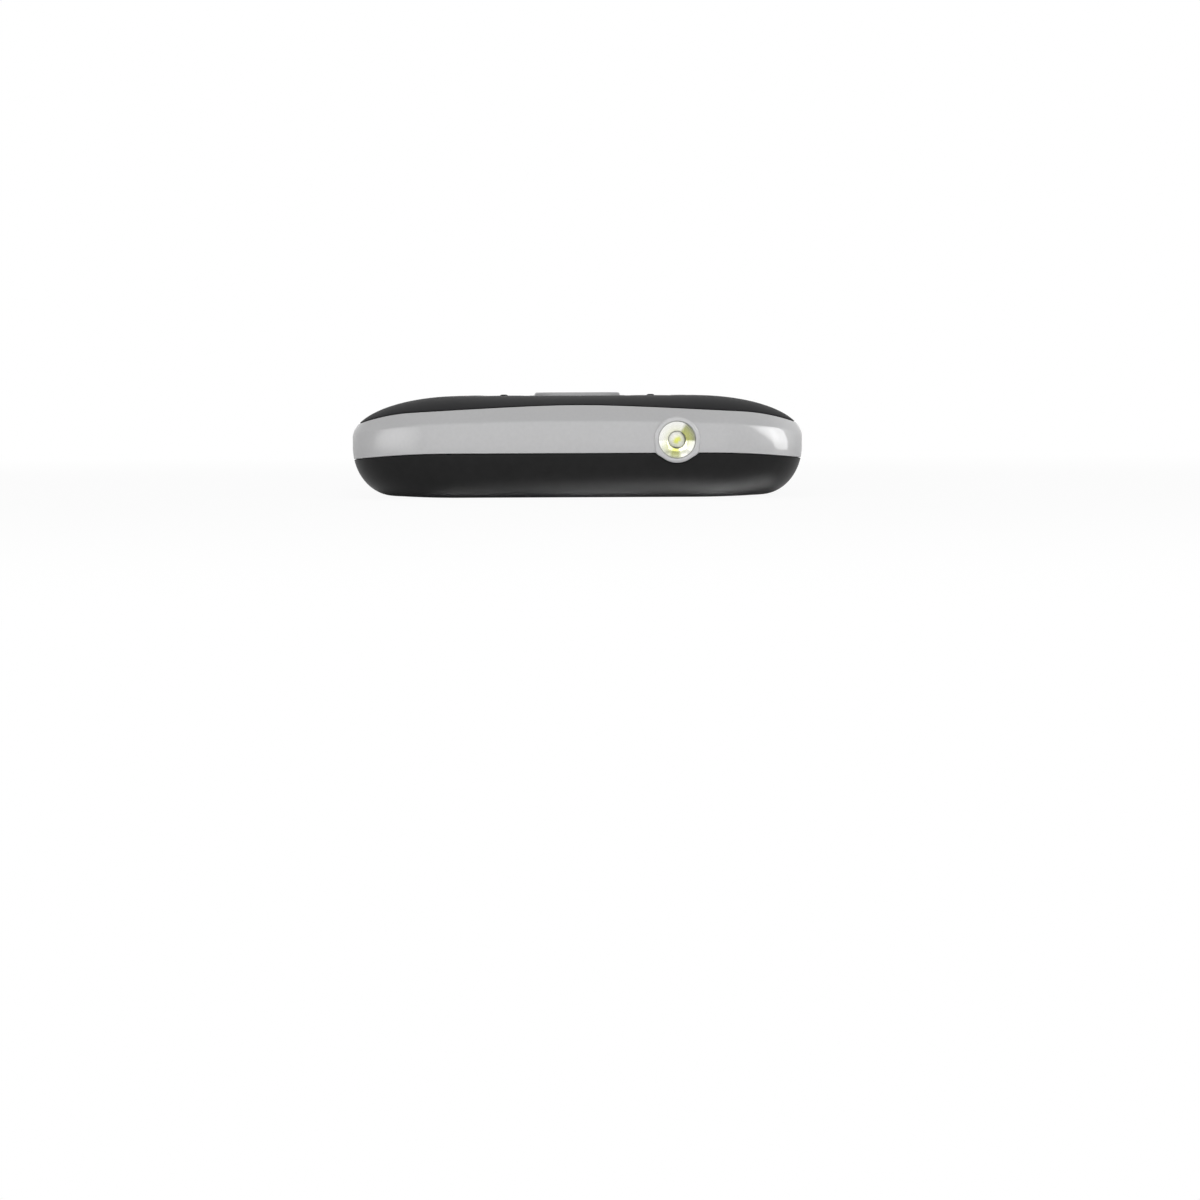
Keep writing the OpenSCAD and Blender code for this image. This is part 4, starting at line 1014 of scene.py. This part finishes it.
def add_lamp(spec, in_gloss=True, on_matt=True, only=()):
    name, place, aim, width, height, roll, power = spec
    light = bpy.data.lights.new(name, "AREA")
    light.shape = "RECTANGLE"
    light.size, light.size_y = width, height
    light.energy = power
    lamp = scene_object(name, light)
    lamp.location = place
    lamp.rotation_mode = "QUATERNION"
    lamp.rotation_quaternion = aimed(Vector(aim) - Vector(place), roll)
    lamp.visible_camera = False
    lamp.visible_glossy = in_gloss
    lamp.visible_diffuse = on_matt
    if only:
        receivers = bpy.data.collections.new(name)
        for piece in only:
            receivers.objects.link(piece)
        lamp.light_linking.receiver_collection = receivers
    return light


for spec in PANELS:
    add_lamp(spec)
for spec in FILLS:
    add_lamp(spec, in_gloss=False)
for spec in CARDS:
    card = add_lamp(spec, on_matt=False, only=[band, collar])
    if card.name in SOFT_CARDS:
        soften(card)
for spec in TABLE_LAMPS:
    table_lamp = add_lamp(spec, on_matt=False, only=[rear])
    table_lamp.spread = math.radians(TABLE_SPREAD_DEG)
    table_lamp.cycles.use_multiple_importance_sampling = False

# Camera: in front of the torch end, at the height of the face. Its focal length and the places of
# the horizon and of the phone's middle are in pixels of the picture.
CAMERA_AWAY = 450.0
FOCAL_PX, IMAGE_PX = 4144.0, 1200.0
HORIZON_PX, MIDDLE_PX = 395.4, 578.1
ROLL_DEG = 0.25
SENSOR_W = 36.0
camera_data = bpy.data.cameras.new("camera")
camera_data.sensor_width = SENSOR_W
camera_data.lens = FOCAL_PX * SENSOR_W / IMAGE_PX
camera_data.clip_start, camera_data.clip_end = 0.01, 50.0
camera = scene_object("camera", camera_data)
camera.location = (0.0, (BODY_L / 2 + CAMERA_AWAY) * MM, BODY_T * MM)
pitch = math.atan((IMAGE_PX / 2 - HORIZON_PX) / FOCAL_PX)
yaw = math.atan((IMAGE_PX / 2 - MIDDLE_PX) / FOCAL_PX)
forward = Vector((-math.sin(yaw) * math.cos(pitch), -math.cos(yaw) * math.cos(pitch),
                  -math.sin(pitch)))
camera.rotation_mode = "QUATERNION"
camera.rotation_quaternion = aimed(forward, -ROLL_DEG)
bpy.context.scene.camera = camera
bpy.context.scene.view_settings.view_transform = "Standard"
